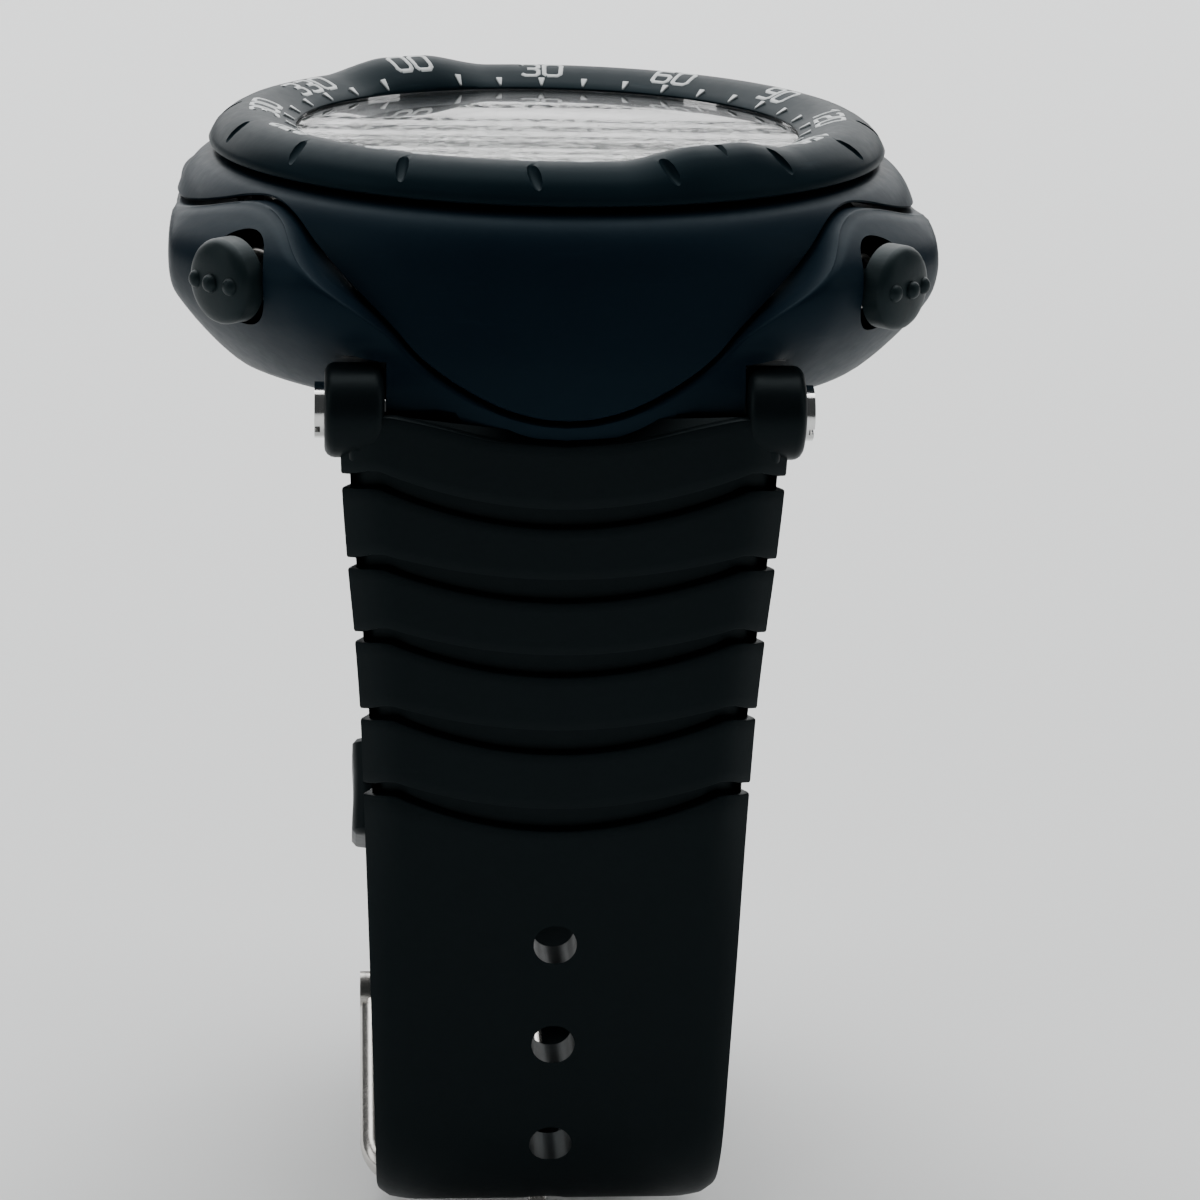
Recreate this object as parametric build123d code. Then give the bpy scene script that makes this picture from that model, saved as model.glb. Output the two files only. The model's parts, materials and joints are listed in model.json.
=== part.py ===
from build123d import *
import math
import os

# Wrist-top outdoor computer with a turning compass bezel, four diagonal buttons
# and a buckled elastomer strap. Millimetres. +Z leaves the dial, +Y points at
# 12 o'clock, and the origin is the centre of the case back's outer face.

# ---- clearances ----
fit_gap = 0.05                # radial gap of running fits
seat_gap = 0.10               # between a part and the pocket that holds it
move_gap = 0.30               # between parts that move past each other

# ---- battery, its cover and the case back ----
cell_r = 12.25                # CR2430 coin cell
cell_t = 3.0
hatch_wall = 1.2              # room round the cell inside the battery opening
hatch_r = cell_r + hatch_wall
hatch_face_t = 1.1
hatch_plug_r = hatch_r - 0.9
hatch_turn_deg = 40.0
tab_t = 0.6
tab_reach = hatch_r + 0.95
tab_half_deg = 13.0
back_t = 1.4
collar_r = hatch_r + 1.85     # raised collar that the tabs hook behind
collar_t = 2.0
back_seal_r = collar_r + 1.3
back_seal_w = 0.8
back_screw_r = 0.6
back_screw_head_r = 1.1
back_screw_len = 2.0
back_screw_pitch_r = back_seal_r + 1.8
back_r = back_screw_pitch_r + 1.6
port_r = 0.9                  # pressure port

# ---- movement, stacked up from the cell ----
board_t = 0.8
board_over_cell = 0.7
floor_over_board = 1.2
frame_floor_t = 0.4
backlight_t = 0.25
display_t = 1.6
flange_t = 1.4
crystal_t = 2.4
crystal_r = 17.6
crystal_seal_w = 0.7
display_r = crystal_r - 2.6
display_window_r = display_r - 1.0
flange_r = crystal_r - 0.9
connector_w = 1.6
connector_y = display_r - 1.7
connector_len = display_r - 2.0
cavity_r = 19.2               # movement bay
board_r = cavity_r - 0.5
switch_r = cavity_r - 3.2     # side switches on the board

tab_z = collar_t + 0.1
cell_z = tab_z + tab_t + 0.2
board_z = cell_z + cell_t + board_over_cell
board_top_z = board_z + board_t
frame_floor_z = board_top_z + floor_over_board
backlight_z = frame_floor_z + frame_floor_t
display_z = backlight_z + backlight_t
flange_z = display_z + display_t + 0.1
crystal_z = flange_z + flange_t + 0.1

# ---- case and bezel heights follow the stack ----
case_r = 25.0                 # case wall at its widest
case_low_z = 0.6              # lower edge, above the case back's outer face
case_low_r = back_r + 1.6
floor_z = tab_z + tab_t + 0.9     # floor of the movement bay
split_z = crystal_z - 2.45    # where the top shell meets the case body
case_wide_z = split_z - 1.1
shell_top_z = crystal_z + 1.0
shell_top_r = case_r - 2.1
crystal_seat_r = crystal_r + crystal_seal_w + seat_gap
neck_r = crystal_seat_r + 1.2
neck_top_z = crystal_z + 2.15
snap_wire = 0.4
bezel_r = shell_top_r - 0.15
bezel_bore = neck_r + 0.08
bezel_inner_r = crystal_r - 0.7
bezel_low_z = shell_top_z + move_gap
bezel_lip_z = neck_top_z + 0.55
bezel_crest_z = bezel_lip_z + 0.85
hump_rise = 1.0
hump_half_deg = 18.0
bezel_zero_deg = 118.2        # the zero mark, counter-clockwise from +X
scoop_count = 16
click_count = 72
click_r = neck_r + 1.5

# ---- buttons ----
button_angles = {"light": 138.0, "select": 222.0, "down": 318.0, "up": 42.0}
button_z = board_top_z + 0.9
button_travel = 0.9
cap_r = 2.7
cap_face_t = 1.5
chamber_r = cap_r + 0.25
boss_r = chamber_r + 1.65
boss_end = case_r + 2.3
boss_inner_r = case_r - 4.1   # the boss stands clear of the case seal inside this
cap_end = boss_end + 2.3
chamber_start = boss_end - 4.8
seal_start = chamber_start - 1.3
stem_r = 1.0
stem_inner = cavity_r - 1.0
seal_r = stem_r + 0.95
clip_r = 1.9
clip_t = 0.4
spring_wire_r = 0.2
spring_r = 1.55
spring_turns = 4
corner_half_w = boss_r + 1.6

# ---- lugs and strap pins ----
pin_y = case_r - 2.0
pin_z = 1.1
lug_half_w = 10.4
lug_barrel_r = 2.4
lug_front = pin_y + 2.9
tongue_t = 1.4
tongue_low_z = 0.75
ear_r = 2.95
ear_in = lug_half_w + move_gap
ear_out = ear_in + 4.2
tube_r = 1.1
tube_bore_r = 0.7
head_r = 1.75
head_t = 0.6
screw_len = 6.0

# ---- strap ----
strap_t = 2.8
tail_t = 2.3
short_t = 2.6
strap_line = pin_y + 1.4      # the straps' mid-line from the centre
strap_top_z = pin_z - 1.0
bend_r = 8.0
run_deg = 10.0                # rise of the run through the buckle
hinge_y = -0.2
hinge_z = -48.2
barrel_r = 1.65
stack_gap = 0.65              # between the tail and the strap under it
corner_r = 8.0
corner_deg = 60.0
keeper_run = 13.0
back_bend_r = 27.6
tail_up = 9.0
tail_half_w = 10.2
short_end_half_w = 10.3
hole_w = 2.8                  # across the strap
hole_len = 2.4                # along it
hole_step = 7.0
holes_before = 5              # holes between the lug and the one in use
holes_after = 2
prong_back = 7.0              # from the buckle hinge to the hole in use, along the strap
band_first_z = -3.2
band_step = 5.05
band_groove = 0.6
band_count = 5
# half widths down the two straps, as (half width, z)
long_widths = [(13.9, 4.5), (13.6, -2.6), (13.3, -8.3), (13.0, -13.0), (12.65, -18.0),
               (12.3, -24.0), (11.7, -40.0), (11.1, -80.0)]
short_widths = [(13.6, 4.5), (13.4, -2.6), (12.8, -13.0), (11.9, -24.0), (10.9, -34.0),
                (short_end_half_w, -44.0), (short_end_half_w, -80.0)]

# ---- buckle and keeper ----
buckle_wire_r = 0.95
buckle_half_w = tail_half_w + 0.25 + buckle_wire_r
buckle_len = 15.5
buckle_bend_r = 2.6
buckle_pin_r = 0.7
eye_r = 1.5
prong_r = 0.65
keeper_len = 7.5
keeper_low = 2.0                # the keeper rests this far below the middle of its run
keeper_wall = 1.4
keeper_half_in = 11.5

os.makedirs("parts", exist_ok=True)
UP = (Align.CENTER, Align.CENTER, Align.MIN)
rad = math.radians


# ---- helpers ----
def save(name, shape):
    shape.label = name
    export_step(shape, f"parts/{name}.step")


def disc(radius, low, high, inner=0.0):
    body = Pos(0, 0, low) * Cylinder(radius, high - low, align=UP)
    if inner:
        body -= Pos(0, 0, low - 1) * Cylinder(inner, high - low + 2, align=UP)
    return body


def spin(points, degrees=360.0, start=0.0):
    """Turn an outline of (radius, height) points about Z."""
    outline = Plane.XZ * make_face(Polyline(*points, close=True))
    return Rot(0, 0, start) * revolve(outline, Axis.Z, degrees)


def around(angle, radius, z, shape):
    """Place a shape at that angle and radius, turned to face outwards."""
    return Rot(0, 0, angle) * Pos(radius, 0, z) * shape


def along_x(radius, x0, x1, y, z):
    rod = Cylinder(radius, x1 - x0, align=UP)
    return Pos(x0, y, z) * Rot(0, 90, 0) * rod


def diagonal(angle):
    """A plane whose local Z runs out along a button's axis."""
    a = rad(angle)
    return Plane(origin=(0, 0, button_z), x_dir=(-math.sin(a), math.cos(a), 0),
                 z_dir=(math.cos(a), math.sin(a), 0))


def rod_out(angle, radius, start, end, inner=0.0):
    return diagonal(angle) * disc(radius, start, end, inner)


def side_prism(points, x0, x1):
    """A face drawn in (y, z), pulled from x0 to x1."""
    face = make_face(Polyline(*[(0, y, z) for y, z in points], close=True))
    return Pos(x0, 0, 0) * extrude(face, x1 - x0, dir=(1, 0, 0))


def front_prism(points, y0, y1):
    """A face drawn in (x, z), pulled from y0 to y1."""
    face = make_face(Polyline(*[(x, 0, z) for x, z in points], close=True))
    return Pos(0, y0, 0) * extrude(face, y1 - y0, dir=(0, 1, 0))


def plan_prism(points, z0, z1):
    face = make_face(Polyline(*[(x, y, 0) for x, y in points], close=True))
    return Pos(0, 0, z0) * extrude(face, z1 - z0, dir=(0, 0, 1))


def mirrored(points):
    return points + [(-x, v) for x, v in reversed(points)]


def end_cut(points, side):
    """A front-view outline pulled through one end of the case."""
    near, far = pin_y - 11.0, pin_y + 9.0
    return front_prism(points, near if side > 0 else -far, far if side > 0 else -near)


# ---- case body ----
wall = [(0, case_low_z), (case_low_r, case_low_z), (case_r - 1.7, case_low_z + 2.0),
        (case_r - 0.4, case_wide_z - 2.9), (case_r, case_wide_z), (case_r - 0.1, split_z),
        (0, split_z)]
corner = [(cavity_r - 2.2, case_low_z), (case_low_r + 1.0, case_low_z), (boss_end - 1.1, 4.0),
          (boss_end, 6.2), (boss_end, split_z), (cavity_r - 2.2, split_z)]
tongue_skin = [(case_r - 0.25, split_z + 1.2), (case_r + 0.3, case_wide_z), (lug_front - 0.1, 5.0),
               (lug_front, 3.0), (lug_front, tongue_low_z)]
under_skin = [(radius - tongue_t, z) for radius, z in reversed(tongue_skin)]
lug_back = cavity_r - 2.2
lug_low = [(lug_back, case_low_z), (case_low_r, case_low_z), (lug_front - tongue_t, 0.9),
           (lug_front - tongue_t, 3.6), (lug_back, 3.6)]
lug_high = [(lug_back, 3.0)] + under_skin[1:4] + [(case_r - 1.6, split_z), (lug_back, split_z)]
tongue_front = mirrored([(17.6, split_z + 1.6), (15.2, split_z - 0.4), (12.2, 7.0), (10.4, 5.2),
                         (7.2, 3.0), (4.2, 1.5), (1.5, 0.8)])
lug_high_front = mirrored([(18.6, split_z + 1.0), (16.2, 8.0), (15.4, 5.0), (11.0, 3.0)])


def corner_block(angle):
    """The flank that carries a button, drawn in (distance out, height)."""
    face = make_face(Polyline(*[(0, z - button_z, out) for out, z in corner], close=True))
    block = Pos(-corner_half_w, 0, 0) * extrude(face, 2 * corner_half_w, dir=(1, 0, 0))
    return diagonal(angle) * block


def lug(side):
    block = side_prism([(side * y, z) for y, z in lug_low], -lug_half_w, lug_half_w)
    barrel = along_x(lug_barrel_r, -lug_half_w, lug_half_w, side * pin_y, pin_z)
    return block + barrel + (spin(lug_high) & end_cut(lug_high_front, side))


def ear_room(side):
    reach = ear_r + move_gap + 0.2
    right = along_x(reach, lug_half_w, ear_out + 0.8, side * pin_y, pin_z)
    left = along_x(reach, -ear_out - 0.8, -lug_half_w, side * pin_y, pin_z)
    return right + left


case_body = spin(wall)
for angle in button_angles.values():
    case_body += corner_block(angle)
    case_body += rod_out(angle, boss_r, cavity_r - 0.2, boss_end)
for side in (1, -1):
    case_body += lug(side)
for side in (1, -1):
    case_body -= ear_room(side)
case_body -= disc(cavity_r, floor_z, split_z + 10)
case_body -= disc(boss_inner_r, split_z, split_z + 10)
case_body -= disc(collar_r + move_gap, -1.0, floor_z + 1)
case_body -= disc(back_r + seat_gap, -1.0, back_t)
case_body -= disc(back_seal_r + back_seal_w / 2, back_t - 0.5, back_t + 0.6,
                  back_seal_r - back_seal_w / 2)
for angle in button_angles.values():
    case_body -= rod_out(angle, stem_r + fit_gap, cavity_r - 2.2, chamber_start)
    case_body -= rod_out(angle, seal_r, seal_start, chamber_start)
    case_body -= rod_out(angle, chamber_r, chamber_start, cap_end + 10)
for side in (1, -1):
    case_body -= along_x(tube_r + fit_gap, -20, 20, side * pin_y, pin_z)
back_screw_angles = [0.0, 90.0, 180.0, 270.0]
back_screw_hole = Cylinder(back_screw_r, back_screw_len + 0.3, align=UP)
for angle in back_screw_angles:
    case_body -= around(angle, back_screw_pitch_r, back_t - 0.5, back_screw_hole)
tongues = [spin(tongue_skin + under_skin) & end_cut(tongue_front, side) for side in (1, -1)]
for tongue in tongues:
    case_body -= tongue

# ---- top shell, with a tongue over each lug and an arch over each button ----
ledge_r = flange_r + 0.2
bay_r = cavity_r + 0.1
top_shell = spin([(bay_r, split_z), (case_r - 0.1, split_z), (case_r - 0.4, split_z + 1.2),
                  (case_r - 1.3, split_z + 2.8), (shell_top_r, shell_top_z), (neck_r, shell_top_z),
                  (neck_r, neck_top_z), (crystal_seat_r, neck_top_z),
                  (crystal_seat_r, crystal_z - 0.1), (ledge_r, crystal_z - 0.1),
                  (ledge_r, split_z + 1.4), (bay_r, split_z + 1.4)])
for tongue in tongues:
    top_shell += tongue
for angle in button_angles.values():
    top_shell -= rod_out(angle, boss_r, boss_inner_r, cap_end + 10)
    top_shell -= corner_block(angle)
snap_z = shell_top_z + 0.6
top_shell -= disc(neck_r, snap_z, snap_z + snap_wire + 0.1, neck_r - snap_wire)
click_low_z = shell_top_z - 0.45
top_shell -= spin([(click_r - 0.6, click_low_z), (click_r + 0.6, click_low_z),
                   (click_r + 0.6, shell_top_z + 0.5), (click_r - 0.6, shell_top_z + 0.5)], 30.0, -15.0)
case_seal_in = cavity_r + 0.7
top_shell -= disc(case_seal_in + 0.75, split_z - 1, split_z + 0.4, case_seal_in - fit_gap)
save("top_shell", top_shell)
case_body -= top_shell
save("case_body", case_body)
save("case_seal", disc(case_seal_in + 0.7, split_z, split_z + 0.4, case_seal_in))

# ---- case back and battery cover ----
case_back = disc(back_r, 0.0, back_t) + disc(collar_r, 0.0, collar_t)
case_back -= disc(hatch_r, -1.0, collar_t + 1)
screw_clear = Cylinder(back_screw_r + 0.1, 5, align=UP)
screw_sink = Cylinder(back_screw_head_r + 0.1, 1.65, align=UP)
for angle in back_screw_angles:
    case_back -= around(angle, back_screw_pitch_r, -1, screw_clear)
    case_back -= around(angle, back_screw_pitch_r, -1, screw_sink)
port_at = (45.0, back_screw_pitch_r - 0.4)
case_back -= around(*port_at, -1, Cylinder(port_r, 1.8, align=UP))
case_back -= around(*port_at, -1, Cylinder(0.4, 5, align=UP))


def tabs(extra_deg, extra_r, low, high):
    """Three bayonet tabs, or the entries that they drop into."""
    whole = disc(tab_reach + extra_r, low, high, hatch_plug_r - 0.2)
    size = 2 * (tab_half_deg + extra_deg)
    slab = [(0.0, low - 1), (2 * tab_reach, low - 1), (2 * tab_reach, high + 1), (0.0, high + 1)]
    return [whole & spin(slab, size, start - size / 2) for start in (0.0, 120.0, 240.0)]


for tab in tabs(1.5, move_gap, -1.0, collar_t + 3):
    case_back -= Rot(0, 0, -hatch_turn_deg - 2.0) * tab
save("case_back", case_back)
save("case_back_seal", disc(back_seal_r + back_seal_w / 2 - 0.05, back_t, back_t + 0.55,
                            back_seal_r - back_seal_w / 2 + 0.05))

back_screw = Cylinder(back_screw_head_r, 0.5, align=UP)
back_screw += Pos(0, 0, 0.5) * Cylinder(back_screw_r - fit_gap, back_screw_len, align=UP)
back_screw -= Box(3, 0.35, 0.3, align=UP)
save("case_back_screws", Compound(children=[
    around(angle, back_screw_pitch_r, 0.15, back_screw) for angle in back_screw_angles]))
save("pressure_port_screen", around(*port_at, 0.3, Cylinder(port_r - fit_gap, 0.4, align=UP)))

battery_cover = disc(hatch_r - fit_gap, 0.0, hatch_face_t)
battery_cover += disc(hatch_plug_r, hatch_face_t - 0.1, tab_z + tab_t)
for tab in tabs(0.0, 0.0, tab_z, tab_z + tab_t):
    battery_cover += tab
battery_cover -= disc(hatch_plug_r - 1.15, 1.5, 10.0)
coin_slot_len = 17.0
coin_slot_w = 1.8
battery_cover -= Pos(0, 0, -1) * Box(coin_slot_len, coin_slot_w, 1.7, align=UP)
save("battery_cover", battery_cover)
save("battery_cover_seal", disc(hatch_r - fit_gap, hatch_face_t + 0.05, tab_z - 0.15, hatch_plug_r))

cell_step = 1.2
battery_cell = disc(cell_r, cell_z + 0.4, cell_z + cell_t)
battery_cell += disc(cell_r - cell_step, cell_z, cell_z + 0.4)
save("battery_cell", battery_cell)
save("battery_insulator", disc(cell_r + 1.4, cell_z, cell_z + cell_t, cell_r + 0.15))


def contact(rise_first):
    """A bent blade between the cell and the board."""
    low, high = 0.1, board_over_cell - 0.1
    first, last = (high, low) if rise_first else (low, high)
    line = Polyline((-2.6, first), (-1.6, first), (1.6, last), (2.7, last))
    return Rot(90, 0, 0) * Pos(0, 0, -1.2) * extrude(make_face(trace(line, 0.2)), 2.4)


cell_top_z = cell_z + cell_t
save("battery_contact_plus", Pos(4.0, 3.0, cell_top_z) * contact(True))
save("battery_contact_minus", Pos(-4.0, -3.0, cell_top_z) * contact(False))

# ---- movement ----
circuit_board = disc(board_r, board_z, board_top_z)
clip_notch = Box(3.0, 4.6, 4, align=UP)
for angle in button_angles.values():
    circuit_board -= around(angle, board_r + 0.2, board_z - 1, clip_notch)
save("circuit_board", circuit_board)

# name: (x, y, width, depth, height, turn)
chips = {
    "processor_chip": (-3.2, 0.4, 6.5, 6.5, 0.9, 0.0),
    "memory_chip": (5.0, -3.5, 4.0, 3.0, 0.8, 0.0),
    "compass_sensor": (5.0, 5.0, 3.6, 3.6, 0.9, 45.0),
    "tilt_sensor": (-3.5, -6.5, 3.0, 3.0, 0.9, 0.0),
    "quartz_crystal": (-9.5, 1.0, 1.5, 5.5, 1.0, 0.0),
}
for name, (x, y, width, depth, height, turn) in chips.items():
    save(name, Pos(x, y, board_top_z) * Rot(0, 0, turn) * Box(width, depth, height, align=UP))
sensor_w = 4.6
sensor_at = (9.4, 0.5)
pressure_sensor = Box(sensor_w, sensor_w, 0.7, align=UP) + Pos(0, 0, 0.7) * Cylinder(1.5, 0.4, align=UP)
save("pressure_sensor", Pos(*sensor_at, board_top_z) * pressure_sensor)
buzzer_r = 2.8
buzzer_y = connector_y - connector_w / 2 - move_gap - buzzer_r
save("buzzer", Pos(0, buzzer_y, board_top_z) * Cylinder(buzzer_r, 1.0, align=UP))
side_switch = Box(2.2, 4.4, 1.6, align=UP)
save("side_switches", Compound(children=[
    around(angle, switch_r, board_top_z, side_switch) for angle in button_angles.values()]))

module_frame = disc(cavity_r - seat_gap, board_top_z, flange_z - 0.1)
module_frame -= disc(display_r + seat_gap, display_z, flange_z + 1)
module_frame -= disc(display_window_r, backlight_z, display_z + 0.1)
module_frame -= disc(min(12.4, connector_y - 0.9), board_top_z - 1, frame_floor_z)
for side in (1, -1):
    strip_room = Box(connector_len + 0.3, connector_w + 0.3, 8, align=UP)
    module_frame -= Pos(0, side * connector_y, board_top_z - 1) * strip_room
switch_room = Box(7.0, 5.2, 2.8, align=UP)
clip_room = Box(4.4, 4.2, button_z + clip_r + 0.3 - board_top_z + 1, align=UP)
for angle in button_angles.values():
    module_frame -= around(angle, switch_r + 0.4, board_top_z - 1, switch_room)
    module_frame -= around(angle, cavity_r - 1.5, board_top_z - 1, clip_room)
chip_room = 2 * move_gap
for x, y, width, depth, height, turn in chips.values():
    room = Box(width + chip_room, depth + chip_room, height + 1 + move_gap, align=UP)
    module_frame -= Pos(x, y, board_top_z - 1) * Rot(0, 0, turn) * room
sensor_room = Box(sensor_w + chip_room, sensor_w + chip_room, 2.1 + move_gap, align=UP)
module_frame -= Pos(*sensor_at, board_top_z - 1) * sensor_room
save("module_frame", module_frame)
backlight_panel = disc(display_window_r - seat_gap, backlight_z, display_z)
for side in (1, -1):
    strip_slot = Box(connector_len + 0.6, connector_w + 0.8, 8, align=UP)
    backlight_panel -= Pos(0, side * connector_y, backlight_z - 1) * strip_slot
save("backlight_panel", backlight_panel)
connector_strip = Box(connector_len, connector_w, display_z - board_top_z, align=UP)
for name, side in (("upper", 1), ("lower", -1)):
    save(f"connector_strip_{name}", Pos(0, side * connector_y, board_top_z) * connector_strip)
save("display_panel", disc(display_r, display_z, display_z + display_t))
save("dial_flange", disc(flange_r, flange_z, crystal_z - 0.1, display_window_r - 0.2))

crystal = disc(crystal_r, crystal_z, crystal_z + crystal_t)
crystal = chamfer(crystal.edges().group_by(Axis.Z)[-1], 0.25)
save("crystal", crystal)
save("crystal_seal", disc(crystal_seat_r - fit_gap, crystal_z - 0.1, crystal_z + 1.9, crystal_r + fit_gap))

# ---- bezel ----
bezel = spin([(bezel_inner_r, bezel_lip_z), (bezel_inner_r, bezel_lip_z + 0.4),
              (bezel_inner_r + 0.4, bezel_lip_z + 0.6), (bezel_inner_r + 1.5, bezel_crest_z - 0.05),
              (bezel_inner_r + 2.7, bezel_crest_z), (bezel_r - 1.75, bezel_crest_z - 0.25),
              (bezel_r - 0.45, bezel_crest_z - 0.95), (bezel_r, bezel_crest_z - 1.55),
              (bezel_r - 0.25, bezel_low_z), (bezel_bore, bezel_low_z), (bezel_bore, bezel_lip_z)])
crest_r = bezel_inner_r + 2.7
hump_top_z = bezel_crest_z + hump_rise
hump = [(crest_r - 1.8, bezel_lip_z + 0.45), (crest_r - 1.0, hump_top_z - 0.3), (crest_r, hump_top_z),
        (crest_r + 1.0, hump_top_z - 0.1), (crest_r + 2.1, bezel_crest_z - 0.7),
        (crest_r + 1.4, bezel_crest_z - 1.4), (crest_r - 1.6, bezel_lip_z - 0.25 + 0.3)]
for turn in (0.0, 180.0):
    middle = bezel_zero_deg + turn
    bezel += spin(hump, 2 * hump_half_deg, middle - hump_half_deg)
    notch = Rot(0, 90, 0) * Rot(0, 0, 45) * Box(1.0, 1.0, 3.4)
    bezel -= around(middle, crest_r + 1.0, hump_top_z, notch)
scoop = Rot(0, 60, 0) * Cylinder(1.5, 8)
for number in range(scoop_count):
    turn = bezel_zero_deg + (number + 0.5) * 360.0 / scoop_count
    bezel -= around(turn, bezel_r + 2.45, bezel_crest_z + 1.2, scoop)
bezel -= disc(bezel_bore + snap_wire + 0.15, snap_z - 0.1, snap_z + snap_wire + 0.2)
click = Rot(0, 90, 0) * Cylinder(0.3, 1.0)
bezel -= [around(n * 360.0 / click_count, click_r, bezel_low_z, click) for n in range(click_count)]
save("bezel", bezel)

snap_ring = disc(neck_r + snap_wire + 0.03, snap_z + 0.05, snap_z + 0.05 + snap_wire,
                 neck_r - snap_wire + fit_gap)
snap_ring -= Pos(0, -neck_r, snap_z) * Box(2.0, 4.0, 2.0)
save("bezel_snap_ring", snap_ring)
click_spring = spin([(click_r - 0.5, click_low_z), (click_r + 0.5, click_low_z),
                     (click_r + 0.5, click_low_z + 0.25), (click_r - 0.5, click_low_z + 0.25)],
                    26.0, -13.0)
nib = Cylinder(0.2, bezel_low_z + 0.1 - click_low_z, align=UP)
click_spring += Pos(click_r, 0, click_low_z) * nib
save("bezel_click_spring", click_spring)

# ---- buttons: cap with stem, seal, clip and return spring ----
cap_under = cap_end - cap_face_t
clip_at = stem_inner + 0.5
neck_in = stem_r - 0.3
dome_r = 9.0
spring_len = cap_under - chamber_start - 2 * spring_wire_r - 0.1
spring_line = Helix(spring_len / spring_turns, spring_len, spring_r)
spring_ring = Plane(origin=spring_line @ 0, z_dir=spring_line % 0) * Circle(spring_wire_r)
coil = sweep(spring_ring, spring_line, is_frenet=True)
for name, angle in button_angles.items():
    cap = rod_out(angle, cap_r, cap_under - 0.6, cap_end)
    cap -= rod_out(angle, cap_r - 0.7, cap_under - 1.6, cap_under)
    cap += rod_out(angle, stem_r, stem_inner, cap_under + 0.2)
    cap -= rod_out(angle, stem_r + 0.1, clip_at, clip_at + clip_t + 0.1, neck_in)
    dome = diagonal(angle) * Pos(0, 0, cap_end + 0.45 - dome_r) * Sphere(dome_r)
    cap -= rod_out(angle, cap_r + 1, cap_end - 1.0, cap_end + 1.0) - dome
    save(f"{name}_button", cap)
    save(f"{name}_button_seal", rod_out(angle, seal_r - fit_gap, seal_start + 0.1,
                                        chamber_start - 0.1, stem_r + fit_gap))
    clip = rod_out(angle, clip_r, clip_at, clip_at + clip_t, neck_in + 0.02)
    clip -= diagonal(angle) * Pos(0, 2.0, clip_at) * Box(1.2, 4.0, 4.0)
    save(f"{name}_button_clip", clip)
    spring_seat = Pos(0, 0, chamber_start + spring_wire_r + fit_gap)
    save(f"{name}_button_spring", diagonal(angle) * spring_seat * coil)


# ---- strap paths, drawn in (y, z) ----
def walk(start, heading, steps):
    """Follow straight runs and bends, each (size, turn): a run has no turn."""
    y, z = start
    legs = []
    for size, turn in steps:
        h0, h1 = rad(heading), rad(heading + turn)
        if turn:
            bend = math.copysign(size, turn)
            centre = (y - bend * math.sin(h0), z + bend * math.cos(h0))
            end = (centre[0] + bend * math.sin(h1), centre[1] - bend * math.cos(h1))
            length = size * abs(h1 - h0)
        else:
            bend, centre, length = 0.0, None, size
            end = (y + size * math.cos(h0), z + size * math.sin(h0))
        legs.append({"start": (y, z), "end": end, "from": h0, "to": h1, "centre": centre,
                     "bend": bend, "length": length})
        (y, z), heading = end, heading + turn
    return legs


def beside(leg, heading, offset, point):
    return (point[0] - offset * math.sin(heading), point[1] + offset * math.cos(heading))


def ribbon(legs, low, high):
    """The band between two offsets of a path, positive to the left of travel."""
    sides = []
    for offset in (low, high):
        lines = []
        for leg in legs:
            p0 = beside(leg, leg["from"], offset, leg["start"])
            p1 = beside(leg, leg["to"], offset, leg["end"])
            if leg["bend"]:
                mid_way = (leg["from"] + leg["to"]) / 2
                reach = leg["bend"] - offset
                middle = (leg["centre"][0] + reach * math.sin(mid_way),
                          leg["centre"][1] - reach * math.cos(mid_way))
                lines.append(ThreePointArc((0, *p0), (0, *middle), (0, *p1)))
            else:
                lines.append(Line((0, *p0), (0, *p1)))
        sides.append(lines)
    low_side, high_side = sides
    caps = [Line(low_side[0] @ 0, high_side[0] @ 0), Line(low_side[-1] @ 1, high_side[-1] @ 1)]
    return make_face(low_side + high_side + caps)


def pull(face, half):
    return Pos(-half, 0, 0) * extrude(face, 2 * half, dir=(1, 0, 0))


def walk_point(legs, distance):
    """The point and heading that far along a path."""
    for leg in legs:
        if distance <= leg["length"]:
            break
        distance -= leg["length"]
    share = distance / leg["length"]
    heading = leg["from"] + (leg["to"] - leg["from"]) * share
    if leg["bend"]:
        return (leg["centre"][0] + leg["bend"] * math.sin(heading),
                leg["centre"][1] - leg["bend"] * math.cos(heading), heading)
    return (leg["start"][0] + share * (leg["end"][0] - leg["start"][0]),
            leg["start"][1] + share * (leg["end"][1] - leg["start"][1]), heading)


# the short strap, from the buckle hinge up to its lug
run, low_turn, high_turn = rad(run_deg), corner_deg - run_deg, 90 - corner_deg
turned_y = (corner_r * (math.sin(rad(corner_deg)) - math.sin(run))
            + keeper_run * math.cos(rad(corner_deg)) + back_bend_r * (1 - math.sin(rad(corner_deg))))
short_run = (strap_line - hinge_y - turned_y) / math.cos(run)
short_steps = [(short_run, 0), (corner_r, low_turn), (keeper_run, 0), (back_bend_r, high_turn)]
short_up = strap_top_z - walk((hinge_y, hinge_z), run_deg, short_steps)[-1]["end"][1]
short_legs = walk((hinge_y, hinge_z), run_deg, short_steps + [(short_up, 0)])

# the long strap: down from its lug, round the lower bend, through the buckle and,
# one stack pitch outside the short strap, up through the keeper
stack = short_t / 2 + stack_gap + tail_t / 2
foot = (hinge_y + stack * math.sin(run), hinge_z - stack * math.cos(run))
bend_end_y = -strap_line + bend_r * (1 + math.sin(run))
run_in = (foot[0] - bend_end_y) / math.cos(run)
bend_end = (bend_end_y, foot[1] - run_in * math.sin(run))
drop = strap_top_z - (bend_end[1] + bend_r * math.cos(run))
front_legs = walk((-strap_line, strap_top_z), -90.0, [(drop, 0), (bend_r, 90.0 + run_deg)])
tail_legs = walk(bend_end, run_deg, [(run_in + short_run, 0), (corner_r + stack, low_turn), (keeper_run, 0),
                                     (back_bend_r + stack, high_turn), (tail_up, 0)])
prong_distance = sum(leg["length"] for leg in front_legs) + run_in - prong_back
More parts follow.
